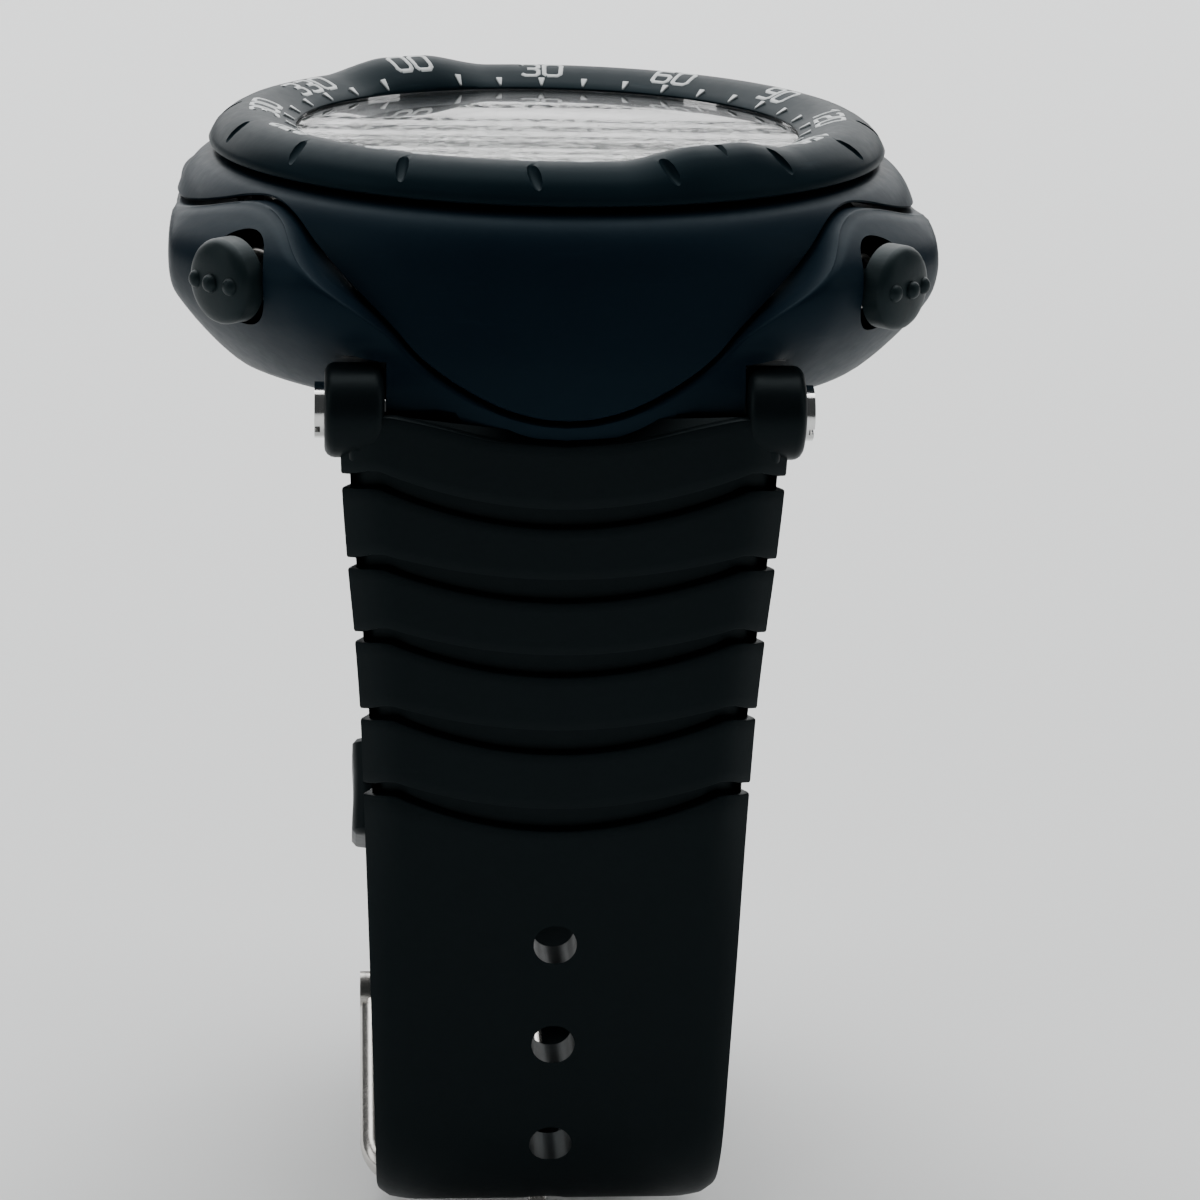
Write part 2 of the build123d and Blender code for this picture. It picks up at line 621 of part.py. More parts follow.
hole_spots = [walk_point(front_legs + tail_legs, prong_distance + number * hole_step)
              for number in range(-holes_before, holes_after + 1)]


def strap_end(side, half):
    """The two ears and the cheeks under them."""
    inner, outer = strap_line - strap_t / 2, strap_line + strap_t / 2
    low = pin_z - 5.5
    cheek = [(side * y, z) for y, z in ((pin_y - 1.2, pin_z), (outer + 0.1, pin_z), (outer, low), (inner, low))]
    pieces = []
    for s in (1, -1):
        x0, x1 = sorted((s * ear_in, s * ear_out))
        pieces.append(along_x(ear_r, x0, x1, side * pin_y, pin_z))
        x0, x1 = sorted((s * ear_in, s * half))
        pieces.append(side_prism(cheek, x0, x1))
    return pieces


def lug_gap(side):
    """Room for the lug barrel, the tongue's tip and the strap tube."""
    room = along_x(lug_barrel_r + move_gap, -ear_in, ear_in, side * pin_y, pin_z)
    high = Pos(0, side * (strap_line - 0.4), tongue_low_z - 1.35) * Box(2 * ear_in, 7.0, 10.0, align=UP)
    return room + high + along_x(tube_r + fit_gap, -20, 20, side * pin_y, pin_z)


# ---- long strap ----
front_plan = mirrored([(15.0, -strap_line - 6), (15.0, -strap_line + 2.0), (11.2, -strap_line + 3.4),
                       (tail_half_w, -strap_line + 9.9), (tail_half_w, 10.0)])
strap_long = pull(ribbon(front_legs, -strap_t / 2, strap_t / 2), 16.0)
strap_long = strap_long & front_prism(mirrored(long_widths), -2 * strap_line, 2 * strap_line)
strap_long = strap_long & plan_prism(front_plan, -100.0, 20.0)
strap_long += pull(ribbon(tail_legs, -tail_t / 2, tail_t / 2), tail_half_w)
tip_y, tip_z = tail_legs[-1]["end"]
tip = mirrored([(tail_half_w + 1, tip_z - 12.0), (tail_half_w + 1, tip_z - 5.0),
                (tail_half_w - 2.2, tip_z - 1.6), (tail_half_w - 6.0, tip_z + 0.1)])
end_zone = mirrored([(20, tip_z - 11.0), (20, tip_z + 5.0)])
strap_long -= front_prism(end_zone, tip_y - 3.0, tip_y + 3.0) - front_prism(tip, tip_y - 4.0, tip_y + 4.0)
for piece in strap_end(-1, 13.6):
    strap_long += piece
strap_long -= lug_gap(-1)
for y, z, heading in hole_spots:
    across = Plane(origin=(0, y, z), x_dir=(1, 0, 0), z_dir=(0, math.sin(heading), -math.cos(heading)))
    strap_long -= across * extrude(SlotOverall(hole_w, hole_len), 2 * strap_t, both=True)
for number in range(band_count):
    middle = band_first_z - number * band_step
    sag = 1.5 - 0.1 * number
    arcs = [ThreePointArc((-15, 0, middle + edge), (0, 0, middle - sag + edge), (15, 0, middle + edge))
            for edge in (band_groove / 2, -band_groove / 2)]
    strip = make_face(arcs + [Line(arcs[0] @ end, arcs[1] @ end) for end in (0, 1)])
    strap_long -= Pos(0, -strap_line - strap_t / 2 - 1.5, 0) * extrude(strip, 2.0, dir=(0, 1, 0))
save("strap_long", strap_long)

# ---- short strap ----
strap_short = pull(ribbon(short_legs, -short_t / 2, short_t / 2), 16.0)
strap_short = strap_short & front_prism(mirrored(short_widths), -2 * strap_line, 2 * strap_line)
strap_short += along_x(barrel_r, -short_end_half_w, short_end_half_w, hinge_y, hinge_z)
for piece in strap_end(1, 13.4):
    strap_short += piece
strap_short -= lug_gap(1)
strap_short -= along_x(buckle_pin_r + fit_gap, -20, 20, hinge_y, hinge_z)
strap_short -= Pos(0, hinge_y - 1.0, hinge_z) * Box(3.6, 8.0, 6.0)
save("strap_short", strap_short)

# ---- strap pins: a tube through each lug, and a slotted screw from each side ----
strap_screws = []
for name, side in (("upper", 1), ("lower", -1)):
    tube = along_x(tube_r, -ear_out + 0.4, ear_out - 0.4, side * pin_y, pin_z)
    tube -= along_x(tube_bore_r, -20, 20, side * pin_y, pin_z)
    save(f"strap_tube_{name}", tube)
    screw = along_x(head_r, ear_out, ear_out + head_t, side * pin_y, pin_z)
    screw += along_x(tube_bore_r - fit_gap, ear_out - screw_len, ear_out + 0.1, side * pin_y, pin_z)
    screw -= Pos(ear_out + head_t, side * pin_y, pin_z) * Rot(30, 0, 0) * Box(0.7, 4.0, 0.5)
    strap_screws += [screw, mirror(screw, Plane.YZ)]
save("strap_screws", Compound(children=strap_screws))

# ---- buckle: frame and prong turn on one pin in the short strap's end ----
crossbar_drop = stack + tail_t / 2 + move_gap + buckle_wire_r
buckle_deg = run_deg + math.degrees(math.asin(crossbar_drop / buckle_len))
along_y, along_z = -math.cos(rad(buckle_deg)), -math.sin(rad(buckle_deg))
out_y, out_z = -along_z, along_y


def buckle_point(along, outward, x=0.0):
    return (x, hinge_y + along * along_y + outward * out_y, hinge_z + along * along_z + outward * out_z)


frame_line = FilletPolyline(
    buckle_point(0, 0, -buckle_half_w), buckle_point(buckle_len, 0, -buckle_half_w),
    buckle_point(buckle_len, 0, buckle_half_w), buckle_point(0, 0, buckle_half_w), radius=buckle_bend_r)
buckle_frame = sweep(Plane(origin=frame_line @ 0, z_dir=frame_line % 0) * Circle(buckle_wire_r), frame_line)
pin_end = buckle_half_w + 0.95
for s in (1, -1):
    x0, x1 = sorted((s * (buckle_half_w - 0.85), s * pin_end))
    buckle_frame += along_x(eye_r, x0, x1, hinge_y, hinge_z)
pin_bore = along_x(buckle_pin_r + fit_gap, -20, 20, hinge_y, hinge_z)
buckle_frame -= pin_bore
save("buckle_frame", buckle_frame)
save("buckle_pin", along_x(buckle_pin_r, -pin_end + fit_gap, pin_end - fit_gap, hinge_y, hinge_z))

used_y, used_z, _ = hole_spots[holes_before]
used_along = (used_y - hinge_y) * along_y + (used_z - hinge_z) * along_z
used_out = (used_y - hinge_y) * out_y + (used_z - hinge_z) * out_z
prong_lift = tail_t / 2 + prong_r
prong_line = FilletPolyline(
    buckle_point(0.0, 0.0),
    buckle_point(used_along - 0.7, used_out - prong_lift - 0.1),
    buckle_point(used_along + 0.4, used_out + prong_lift + 0.05),
    buckle_point(buckle_len + 1.3, buckle_wire_r + prong_r + 0.1),
    radius=0.9)
buckle_prong = sweep(Plane(origin=prong_line @ 0, z_dir=prong_line % 0) * Circle(prong_r), prong_line)
buckle_prong += along_x(eye_r - 0.1, -1.35, 1.35, hinge_y, hinge_z)
buckle_prong -= pin_bore
save("buckle_prong", buckle_prong)

# ---- keeper: a band round the short strap and the tail ----
straight = short_legs[2]
rise = straight["from"]
keeper_y = (straight["start"][0] + straight["end"][0]) / 2 - keeper_low * math.cos(rise)
keeper_z = (straight["start"][1] + straight["end"][1]) / 2 - keeper_low * math.sin(rise)
keeper_in = short_t / 2 + move_gap
keeper_out = stack + tail_t / 2 + move_gap
keeper_plane = Plane(origin=(0, keeper_y, keeper_z), x_dir=(1, 0, 0),
                     z_dir=(0, math.cos(rise), math.sin(rise)))
depth = keeper_in + keeper_out
walls = Box(2 * (keeper_half_in + keeper_wall), depth + 2 * keeper_wall, keeper_len)
walls = fillet(walls.edges().filter_by(Axis.Z), keeper_wall)
room = fillet(Box(2 * keeper_half_in, depth, keeper_len + 2).edges().filter_by(Axis.Z), 0.3)
keeper = keeper_plane * (Pos(0, (keeper_out - keeper_in) / 2, 0) * (walls - room))
save("keeper", keeper)
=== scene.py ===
import json
import math

import bpy
from mathutils import Matrix, Vector


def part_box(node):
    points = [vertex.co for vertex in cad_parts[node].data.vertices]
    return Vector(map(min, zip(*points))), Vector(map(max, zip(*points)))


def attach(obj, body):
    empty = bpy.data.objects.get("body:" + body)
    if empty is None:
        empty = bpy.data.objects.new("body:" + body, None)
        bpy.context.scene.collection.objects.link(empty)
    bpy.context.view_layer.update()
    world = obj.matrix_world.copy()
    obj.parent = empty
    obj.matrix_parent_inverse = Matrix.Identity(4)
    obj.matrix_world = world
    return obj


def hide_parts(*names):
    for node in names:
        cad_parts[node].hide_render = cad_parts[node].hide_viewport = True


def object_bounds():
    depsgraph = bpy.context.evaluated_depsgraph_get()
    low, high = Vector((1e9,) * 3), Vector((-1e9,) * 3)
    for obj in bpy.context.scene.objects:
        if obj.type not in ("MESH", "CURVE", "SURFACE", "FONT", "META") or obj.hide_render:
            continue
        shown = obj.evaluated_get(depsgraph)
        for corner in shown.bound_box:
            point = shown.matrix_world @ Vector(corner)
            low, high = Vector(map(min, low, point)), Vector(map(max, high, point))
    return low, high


# Wrist-top outdoor computer: looks for the moulded case, bezel, buttons and strap.
# Shapes are worked out in millimetres and scaled to metres when they are finished.

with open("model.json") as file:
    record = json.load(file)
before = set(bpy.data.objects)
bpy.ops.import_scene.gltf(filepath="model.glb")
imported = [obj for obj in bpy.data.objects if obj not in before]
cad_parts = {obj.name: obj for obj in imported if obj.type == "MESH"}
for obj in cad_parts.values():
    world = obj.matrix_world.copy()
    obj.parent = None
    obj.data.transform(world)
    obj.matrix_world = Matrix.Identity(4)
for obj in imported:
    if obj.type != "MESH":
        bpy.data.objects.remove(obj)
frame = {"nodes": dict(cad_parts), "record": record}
cad_low, cad_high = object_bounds()
nodes = frame["nodes"]
MM = 0.001

# ---- sizes shared by several pieces, in millimetres ----
BUTTON_ANGLES = {"light": 138.0, "select": 222.0, "down": 318.0, "up": 42.0}
CAP_UNDER, STEM_INNER = 28.1, 18.2
BUTTON_Z = (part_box("up_button")[0].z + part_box("up_button")[1].z) / 2 / MM
SHELL_TOP_Z = 13.45
NECK_R, NECK_TOP_Z = 19.6, 14.6
PIN_Y, PIN_Z = 23.0, 1.1
EAR_IN, EAR_OUT, EAR_R = 11.2, 14.9, 2.95
STRAP_LINE = 24.4
ZERO_DEG = 118.2              # the bezel's zero mark


# ---- small workshop helpers ----
def blend_in(x, low, high):
    """0 below low, 1 above high, smooth between."""
    t = min(1.0, max(0.0, (x - low) / (high - low)))
    return t * t * (3 - 2 * t)


def on_line(points, x):
    """Read a smooth curve through (x, value) points."""
    if x <= points[0][0]:
        return points[0][1]
    for (x0, v0), (x1, v1) in zip(points, points[1:]):
        if x <= x1:
            return v0 + (v1 - v0) * (x - x0) / (x1 - x0)
    return points[-1][1]


def smooth_line(points, x):
    """As on_line, but rounded through its points."""
    if x <= points[0][0] or x >= points[-1][0]:
        return on_line(points, x)
    last = len(points) - 1
    for n in range(last):
        if x <= points[n + 1][0]:
            break
    p0, p1, p2, p3 = points[max(n - 1, 0)], points[n], points[n + 1], points[min(n + 2, last)]
    width = p2[0] - p1[0]
    m1 = (p2[1] - p0[1]) / (p2[0] - p0[0])
    m2 = (p3[1] - p1[1]) / (p3[0] - p1[0])
    t = (x - p1[0]) / width
    return ((2 * t**3 - 3 * t**2 + 1) * p1[1] + (t**3 - 2 * t**2 + t) * width * m1
            + (3 * t**2 - 2 * t**3) * p2[1] + (t**3 - t**2) * width * m2)


def deselect():
    if bpy.context.object and bpy.context.object.mode != "OBJECT":
        bpy.ops.object.mode_set(mode="OBJECT")
    bpy.ops.object.select_all(action="DESELECT")


def take(piece):
    deselect()
    piece.select_set(True)
    bpy.context.view_layer.objects.active = piece
    return piece


def edit(piece, mode="FACE"):
    take(piece)
    bpy.ops.object.mode_set(mode="EDIT")
    bpy.ops.mesh.select_mode(type=mode)
    bpy.ops.mesh.select_all(action="DESELECT")
    bpy.ops.object.mode_set(mode="OBJECT")


def pick_faces(piece, test):
    """Select the faces whose centre and normal pass the test, and open edit mode."""
    edit(piece)
    for face in piece.data.polygons:
        face.select = test(face.center, face.normal)
    bpy.ops.object.mode_set(mode="EDIT")


def close_edit():
    bpy.ops.object.mode_set(mode="OBJECT")


def weld(piece, distance=0.002):
    take(piece)
    bpy.ops.object.mode_set(mode="EDIT")
    bpy.ops.mesh.select_all(action="SELECT")
    bpy.ops.mesh.remove_doubles(threshold=distance)
    bpy.ops.mesh.normals_make_consistent(inside=False)
    bpy.ops.object.mode_set(mode="OBJECT")


def put_modifier(piece, kind, **values):
    take(piece)
    modifier = piece.modifiers.new(kind.lower(), kind)
    for key, value in values.items():
        setattr(modifier, key, value)
    bpy.ops.object.modifier_apply(modifier=modifier.name)


def soften(piece, width, segments=2, angle=35.0):
    put_modifier(piece, "BEVEL", width=width, segments=segments, limit_method="ANGLE",
                 angle_limit=math.radians(angle), use_clamp_overlap=True)


def settle(piece):
    """Put the object's place into its mesh."""
    take(piece)
    bpy.ops.object.transform_apply(location=True, rotation=True, scale=True)


def shade(piece, angle=32.0):
    take(piece)
    bpy.ops.object.shade_smooth_by_angle(angle=math.radians(angle))


def carve(piece, cutters, solver="EXACT"):
    """Cut a list of pieces away with one boolean, and throw the cutters away."""
    cutter = joined(cutters, "cutter")
    put_modifier(piece, "BOOLEAN", object=cutter, operation="DIFFERENCE", solver=solver)
    bpy.data.objects.remove(cutter)


def joined(pieces, name):
    deselect()
    for piece in pieces:
        piece.select_set(True)
    bpy.context.view_layer.objects.active = pieces[0]
    if len(pieces) > 1:
        bpy.ops.object.join()
    whole = bpy.context.view_layer.objects.active
    whole.name = name
    settle(whole)
    return whole


def skin(name, columns, rows, place):
    """A grid wrapped over a shape: place(i, j) gives each crossing's point."""
    deselect()
    bpy.ops.mesh.primitive_grid_add(x_subdivisions=columns, y_subdivisions=rows, size=2.0)
    piece = bpy.context.object
    piece.name = name
    for vertex in piece.data.vertices:
        i = round((vertex.co.x + 1) / 2 * columns)
        j = round((vertex.co.y + 1) / 2 * rows)
        vertex.co = place(i, j)
    weld(piece)
    return piece


def cap_holes(piece):
    """Close the open ends of a wrapped grid."""
    edit(piece, "EDGE")
    bpy.ops.object.mode_set(mode="EDIT")
    bpy.ops.mesh.select_non_manifold(extend=False, use_wire=False, use_multi_face=False,
                                     use_non_contiguous=False, use_verts=False)
    bpy.ops.mesh.fill_holes(sides=0)
    bpy.ops.mesh.select_all(action="SELECT")
    bpy.ops.mesh.normals_make_consistent(inside=False)
    bpy.ops.object.mode_set(mode="OBJECT")


def rod(radius, low, high, vertices=48):
    """A cylinder primitive along Z."""
    deselect()
    bpy.ops.mesh.primitive_cylinder_add(vertices=vertices, radius=radius, depth=high - low,
                                        location=(0, 0, (low + high) / 2))
    piece = bpy.context.object
    settle(piece)
    return piece


def cross_rod(radius, x0, x1, y, z, vertices=48):
    piece = rod(radius, x0, x1, vertices)
    piece.matrix_world = Matrix.Translation((0, y, z)) @ Matrix.Rotation(math.radians(90), 4, "Y")
    settle(piece)
    return piece


def button_matrix(angle):
    """Local Z runs out along the button, local X round the case."""
    return (Matrix.Rotation(math.radians(angle), 4, "Z") @ Matrix.Translation((0, 0, BUTTON_Z))
            @ Matrix.Rotation(math.radians(90), 4, "Y") @ Matrix.Rotation(math.radians(90), 4, "Z"))


def finish_piece(piece, body, material, replaced=(), angle=32.0):
    """Scale to metres, shade, give its material and body, and hide the parts it replaces."""
    settle(piece)
    piece.data.transform(Matrix.Scale(MM, 4))
    piece.data.materials.clear()
    piece.data.materials.append(material)
    shade(piece, angle)
    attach(piece, body)
    if replaced:
        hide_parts(*replaced)
    return piece


# ---- shader groups: grain, colour drift and scuffs, read in object coordinates ----
def new_group(name, inputs, outputs):
    group = bpy.data.node_groups.new(name, "ShaderNodeTree")
    for label, kind, value in inputs:
        socket = group.interface.new_socket(label, in_out="INPUT", socket_type=kind)
        socket.default_value = value
    for label, kind in outputs:
        group.interface.new_socket(label, in_out="OUTPUT", socket_type=kind)
    return group, group.nodes.new("NodeGroupInput"), group.nodes.new("NodeGroupOutput")


def noise_node(tree, detail, rough=0.55):
    node = tree.nodes.new("ShaderNodeTexNoise")
    node.inputs["Detail"].default_value = detail
    node.inputs["Roughness"].default_value = rough
    return node


def scaled(tree, source, factor, offset=0.0):
    node = tree.nodes.new("ShaderNodeMath")
    node.operation = "MULTIPLY_ADD"
    tree.links.new(source, node.inputs[0])
    if hasattr(factor, "is_output"):
        tree.links.new(factor, node.inputs[1])
    else:
        node.inputs[1].default_value = factor
    node.inputs[2].default_value = offset
    return node.outputs[0]


def build_surface_group():
    """Moulded or rubbed surface: drifting colour, uneven gloss, fine grain and scuffs."""
    group, given, result = new_group("moulded_surface", [
        ("Vector", "NodeSocketVector", (0, 0, 0)),
        ("Colour", "NodeSocketColor", (0.5, 0.5, 0.5, 1)),
        ("Worn Colour", "NodeSocketColor", (0.6, 0.6, 0.6, 1)),
        ("Roughness", "NodeSocketFloat", 0.5),
        ("Grain Size", "NodeSocketFloat", 2500.0),
        ("Grain Depth", "NodeSocketFloat", 0.5),
        ("Blotch Size", "NodeSocketFloat", 90.0),
        ("Uneven Gloss", "NodeSocketFloat", 0.15),
        ("Scuffs", "NodeSocketFloat", 0.5),
    ], [("Colour", "NodeSocketColor"), ("Roughness", "NodeSocketFloat"),
        ("Height", "NodeSocketFloat")])
    link = group.links.new
    blotch, grain = noise_node(group, 3.0), noise_node(group, 2.0)
    scratch, speck = noise_node(group, 4.0, 0.7), noise_node(group, 2.0)
    stretch = group.nodes.new("ShaderNodeMapping")
    stretch.inputs["Scale"].default_value = (1.0, 1.0, 9.0)
    stretch.inputs["Rotation"].default_value = (0.5, 0.9, 0.2)
    link(given.outputs["Vector"], stretch.inputs["Vector"])
    for node in (blotch, grain, speck):
        link(given.outputs["Vector"], node.inputs["Vector"])
    link(stretch.outputs["Vector"], scratch.inputs["Vector"])
    link(given.outputs["Blotch Size"], blotch.inputs["Scale"])
    link(given.outputs["Grain Size"], grain.inputs["Scale"])
    scratch.inputs["Scale"].default_value = 160.0
    speck.inputs["Scale"].default_value = 1300.0
    scuff = group.nodes.new("ShaderNodeMapRange")
    scuff.inputs["From Min"].default_value = 0.62
    scuff.inputs["From Max"].default_value = 0.74
    link(scratch.outputs["Fac"], scuff.inputs["Value"])
    worn = group.nodes.new("ShaderNodeMath")
    worn.operation = "MULTIPLY"
    link(scuff.outputs["Result"], worn.inputs[0])
    link(given.outputs["Scuffs"], worn.inputs[1])
    drift = scaled(group, blotch.outputs["Fac"], 0.5, -0.1)
    share = group.nodes.new("ShaderNodeMath")
    share.operation = "ADD"
    share.use_clamp = True
    link(drift, share.inputs[0])
    link(worn.outputs[0], share.inputs[1])
    mix = group.nodes.new("ShaderNodeMix")
    mix.data_type = "RGBA"
    link(share.outputs[0], mix.inputs["Factor"])
    link(given.outputs["Colour"], mix.inputs["A"])
    link(given.outputs["Worn Colour"], mix.inputs["B"])
    link(mix.outputs["Result"], result.inputs["Colour"])
    swing = scaled(group, blotch.outputs["Fac"], 1.0, -0.5)
    swing = scaled(group, swing, given.outputs["Uneven Gloss"])
    speckle = scaled(group, speck.outputs["Fac"], 0.12, -0.06)
    total = group.nodes.new("ShaderNodeMath")
    total.operation = "ADD"
    link(swing, total.inputs[0])
    link(speckle, total.inputs[1])
    gloss = group.nodes.new("ShaderNodeMath")
    gloss.operation = "ADD"
    gloss.use_clamp = True
    link(total.outputs[0], gloss.inputs[0])
    link(given.outputs["Roughness"], gloss.inputs[1])
    link(gloss.outputs[0], result.inputs["Roughness"])
    fine = scaled(group, grain.outputs["Fac"], given.outputs["Grain Depth"])
    deep = scaled(group, worn.outputs[0], -0.6)
    height = group.nodes.new("ShaderNodeMath")
    height.operation = "ADD"
    link(fine, height.inputs[0])
    link(deep, height.inputs[1])
    link(height.outputs[0], result.inputs["Height"])
    return group


SURFACE = build_surface_group()


def finish_of(name, colour, worn, roughness, grain=2500.0, depth=0.5, blotch=90.0, uneven=0.15,
              scuffs=0.4, bump=0.00002, **shader_values):
    """A material whose colour, gloss and bump all come from the moulded surface group."""
    material = bpy.data.materials.new(name)
    material.use_nodes = True
    tree = material.node_tree
    shader = tree.nodes["Principled BSDF"]
    place = tree.nodes.new("ShaderNodeTexCoord")
    surface = tree.nodes.new("ShaderNodeGroup")
    surface.node_tree = SURFACE
    tree.links.new(place.outputs["Object"], surface.inputs["Vector"])
    for label, value in (("Colour", (*colour, 1)), ("Worn Colour", (*worn, 1)),
                         ("Roughness", roughness), ("Grain Size", grain), ("Grain Depth", depth),
                         ("Blotch Size", blotch), ("Uneven Gloss", uneven), ("Scuffs", scuffs)):
        surface.inputs[label].default_value = value
    tree.links.new(surface.outputs["Colour"], shader.inputs["Base Color"])
    tree.links.new(surface.outputs["Roughness"], shader.inputs["Roughness"])
    raised = tree.nodes.new("ShaderNodeBump")
    raised.inputs["Distance"].default_value = bump
    raised.inputs["Strength"].default_value = 1.0
    tree.links.new(surface.outputs["Height"], raised.inputs["Height"])
    tree.links.new(raised.outputs["Normal"], shader.inputs["Normal"])
    for label, value in shader_values.items():
        shader.inputs[label.replace("_", " ")].default_value = value
    return material


FINISHES = {
    "case_plastic": finish_of("satin_navy_case", (0.0032, 0.0080, 0.0135), (0.009, 0.019, 0.029), 0.40,
                              grain=1500, depth=0.3, blotch=70, uneven=0.14, scuffs=0.2,
                              Specular_IOR_Level=0.055, Specular_Tint=(0.5, 0.85, 1.0, 1.0)),
    "bezel_plastic": finish_of("satin_navy_bezel", (0.0030, 0.0078, 0.0110), (0.010, 0.020, 0.027), 0.38,
                               grain=1600, depth=0.28, blotch=110, uneven=0.16, scuffs=0.3,
                               Specular_IOR_Level=0.035, Specular_Tint=(0.5, 0.88, 1.0, 1.0)),
    "button_plastic": finish_of("button_rubber", (0.0060, 0.0115, 0.0130), (0.014, 0.024, 0.027), 0.44,
                                grain=2600, depth=0.4, scuffs=0.3, Specular_IOR_Level=0.14,
                                Specular_Tint=(0.80, 0.95, 1.0, 1.0)),
    "strap_rubber": finish_of("strap_elastomer", (0.0018, 0.0034, 0.0042), (0.0055, 0.0100, 0.0115), 0.42,
                              grain=2200, depth=0.4, blotch=60, uneven=0.14, scuffs=0.14,
                              Specular_IOR_Level=0.09, Specular_Tint=(0.75, 0.95, 1.0, 1.0)),
    "buckle_steel": finish_of("brushed_buckle_steel", (0.60, 0.58, 0.55), (0.74, 0.72, 0.69), 0.26,
                              grain=3000, depth=0.3, uneven=0.12, Metallic=1.0),
    "screw_steel": finish_of("bright_screw_steel", (0.72, 0.72, 0.71), (0.5, 0.5, 0.5), 0.14,
                             grain=4000, depth=0.2, uneven=0.1, scuffs=0.3, Metallic=1.0),
    "spring_steel": finish_of("spring_steel", (0.50, 0.49, 0.47), (0.32, 0.31, 0.30), 0.3, Metallic=1.0),
    "back_plastic": finish_of("case_back_plastic", (0.007, 0.009, 0.011), (0.022, 0.026, 0.029), 0.46,
                              grain=1100, depth=0.7, scuffs=0.4, Specular_IOR_Level=0.2),
    "seal_rubber": finish_of("seal_rubber", (0.012, 0.012, 0.012), (0.03, 0.03, 0.03), 0.6),
    "flange_print": finish_of("printed_flange", (0.020, 0.024, 0.030), (0.045, 0.050, 0.058), 0.45,
                              grain=5000, depth=0.2, scuffs=0.05),
    "module_plastic": finish_of("module_plastic", (0.70, 0.69, 0.65), (0.60, 0.59, 0.55), 0.5),
    "backlight_film": finish_of("backlight_film", (0.62, 0.72, 0.66), (0.52, 0.62, 0.58), 0.35),
    "board_laminate": finish_of("board_laminate", (0.02, 0.13, 0.06), (0.04, 0.20, 0.09), 0.4),
    "chip_epoxy": finish_of("chip_epoxy", (0.012, 0.012, 0.013), (0.04, 0.04, 0.042), 0.5),
    "component_metal": finish_of("component_metal", (0.62, 0.61, 0.58), (0.45, 0.44, 0.42), 0.3,
                                 Metallic=1.0),
    "cell_steel": finish_of("cell_steel", (0.66, 0.65, 0.63), (0.5, 0.5, 0.49), 0.22, Metallic=1.0),
    "contact_brass": finish_of("contact_brass", (0.72, 0.50, 0.20), (0.5, 0.34, 0.14), 0.3,
                               Metallic=1.0),
    "connector_rubber": finish_of("connector_rubber", (0.10, 0.10, 0.12), (0.35, 0.33, 0.36), 0.55),
    "display_glass": finish_of("display_glass", (0.62, 0.66, 0.60), (0.56, 0.60, 0.55), 0.10,
                               grain=6000, depth=0.1, blotch=40, uneven=0.04, scuffs=0.02,
                               Metallic=0.75, Coat_Weight=0.6, Coat_Roughness=0.05),
    "crystal_acrylic": finish_of("crystal_window", (0.985, 0.99, 0.99), (0.96, 0.97, 0.97), 0.02,
                                 grain=900, depth=0.02, blotch=30, uneven=0.02, scuffs=0.06,
                                 bump=0.000004, Transmission_Weight=1.0, IOR=1.52,
                                 Coat_Weight=0.0),
}
NUMERAL_PAINT = finish_of("numeral_paint", (0.52, 0.55, 0.55), (0.30, 0.33, 0.34), 0.45,
                          grain=5000, depth=0.6, blotch=500, uneven=0.1, scuffs=0.7)
SEGMENT_INK = finish_of("display_segments", (0.03, 0.035, 0.035), (0.05, 0.055, 0.05), 0.3, scuffs=0.0)

slot_of = {}
for row in frame["record"]["materials"]:
    for name in row.get("nodes", []):
        slot_of[name] = row["slot"]
for name, node in nodes.items():
    slot = slot_of.get(name) or (node.data.materials[0].name if node.data.materials else "")
    found = FINISHES.get(slot)
    if found is None:
        found = next((FINISHES[key] for key in FINISHES if key in slot), FINISHES["case_plastic"])
    node.data.materials.clear()
    node.data.materials.append(found)


# ---- camera, floor and light ----
camera_data = bpy.data.cameras.new("camera")
camera = bpy.data.objects.new("camera", camera_data)
bpy.context.scene.collection.objects.link(camera)
yaw, pitch, roll = 0.0808, 0.3033, 0.0268
forward = Vector((math.sin(yaw) * math.cos(pitch), math.cos(yaw) * math.cos(pitch), -math.sin(pitch)))
level_right = Vector((math.cos(yaw), -math.sin(yaw), 0))
level_up = level_right.cross(forward)
right = level_right * math.cos(roll) + level_up * math.sin(roll)
up = level_up * math.cos(roll) - level_right * math.sin(roll)
turn = Matrix((right, up, -forward)).transposed().to_4x4()
camera.matrix_world = Matrix.Translation(Vector((-14.0637, -227.8018, 53.1114)) * MM) @ turn
camera_data.lens = 102.01
camera_data.sensor_width = 36.0
camera_data.clip_start = 0.01
camera_data.clip_end = 20.0
camera_data.dof.use_dof = False
bpy.context.scene.camera = camera

FLOOR_Z = cad_low.z - 0.0002
deselect()
bpy.ops.mesh.primitive_plane_add(size=8.0, location=(0, 0, FLOOR_Z))
floor = bpy.context.object
floor.name = "studio_floor"
settle(floor)
floor_paint = finish_of("floor_paint", (0.66, 0.67, 0.67), (0.62, 0.63, 0.63), 0.8, grain=300, depth=0.1,
                        blotch=3.0, uneven=0.05, scuffs=0.0)
floor.data.materials.append(floor_paint)


def soft_panel(name, place, aim, width, height, power, colour=(1, 1, 1)):
    light_data = bpy.data.lights.new(name, "AREA")
    light_data.shape = "RECTANGLE"
    light_data.size, light_data.size_y = width, height
    light_data.energy = power
    light_data.color = colour
    light = bpy.data.objects.new(name, light_data)
    bpy.context.scene.collection.objects.link(light)
    direction = Vector(aim) - Vector(place)
    light.matrix_world = Matrix.Translation(place) @ direction.to_track_quat("-Z", "Y").to_matrix().to_4x4()
    return light


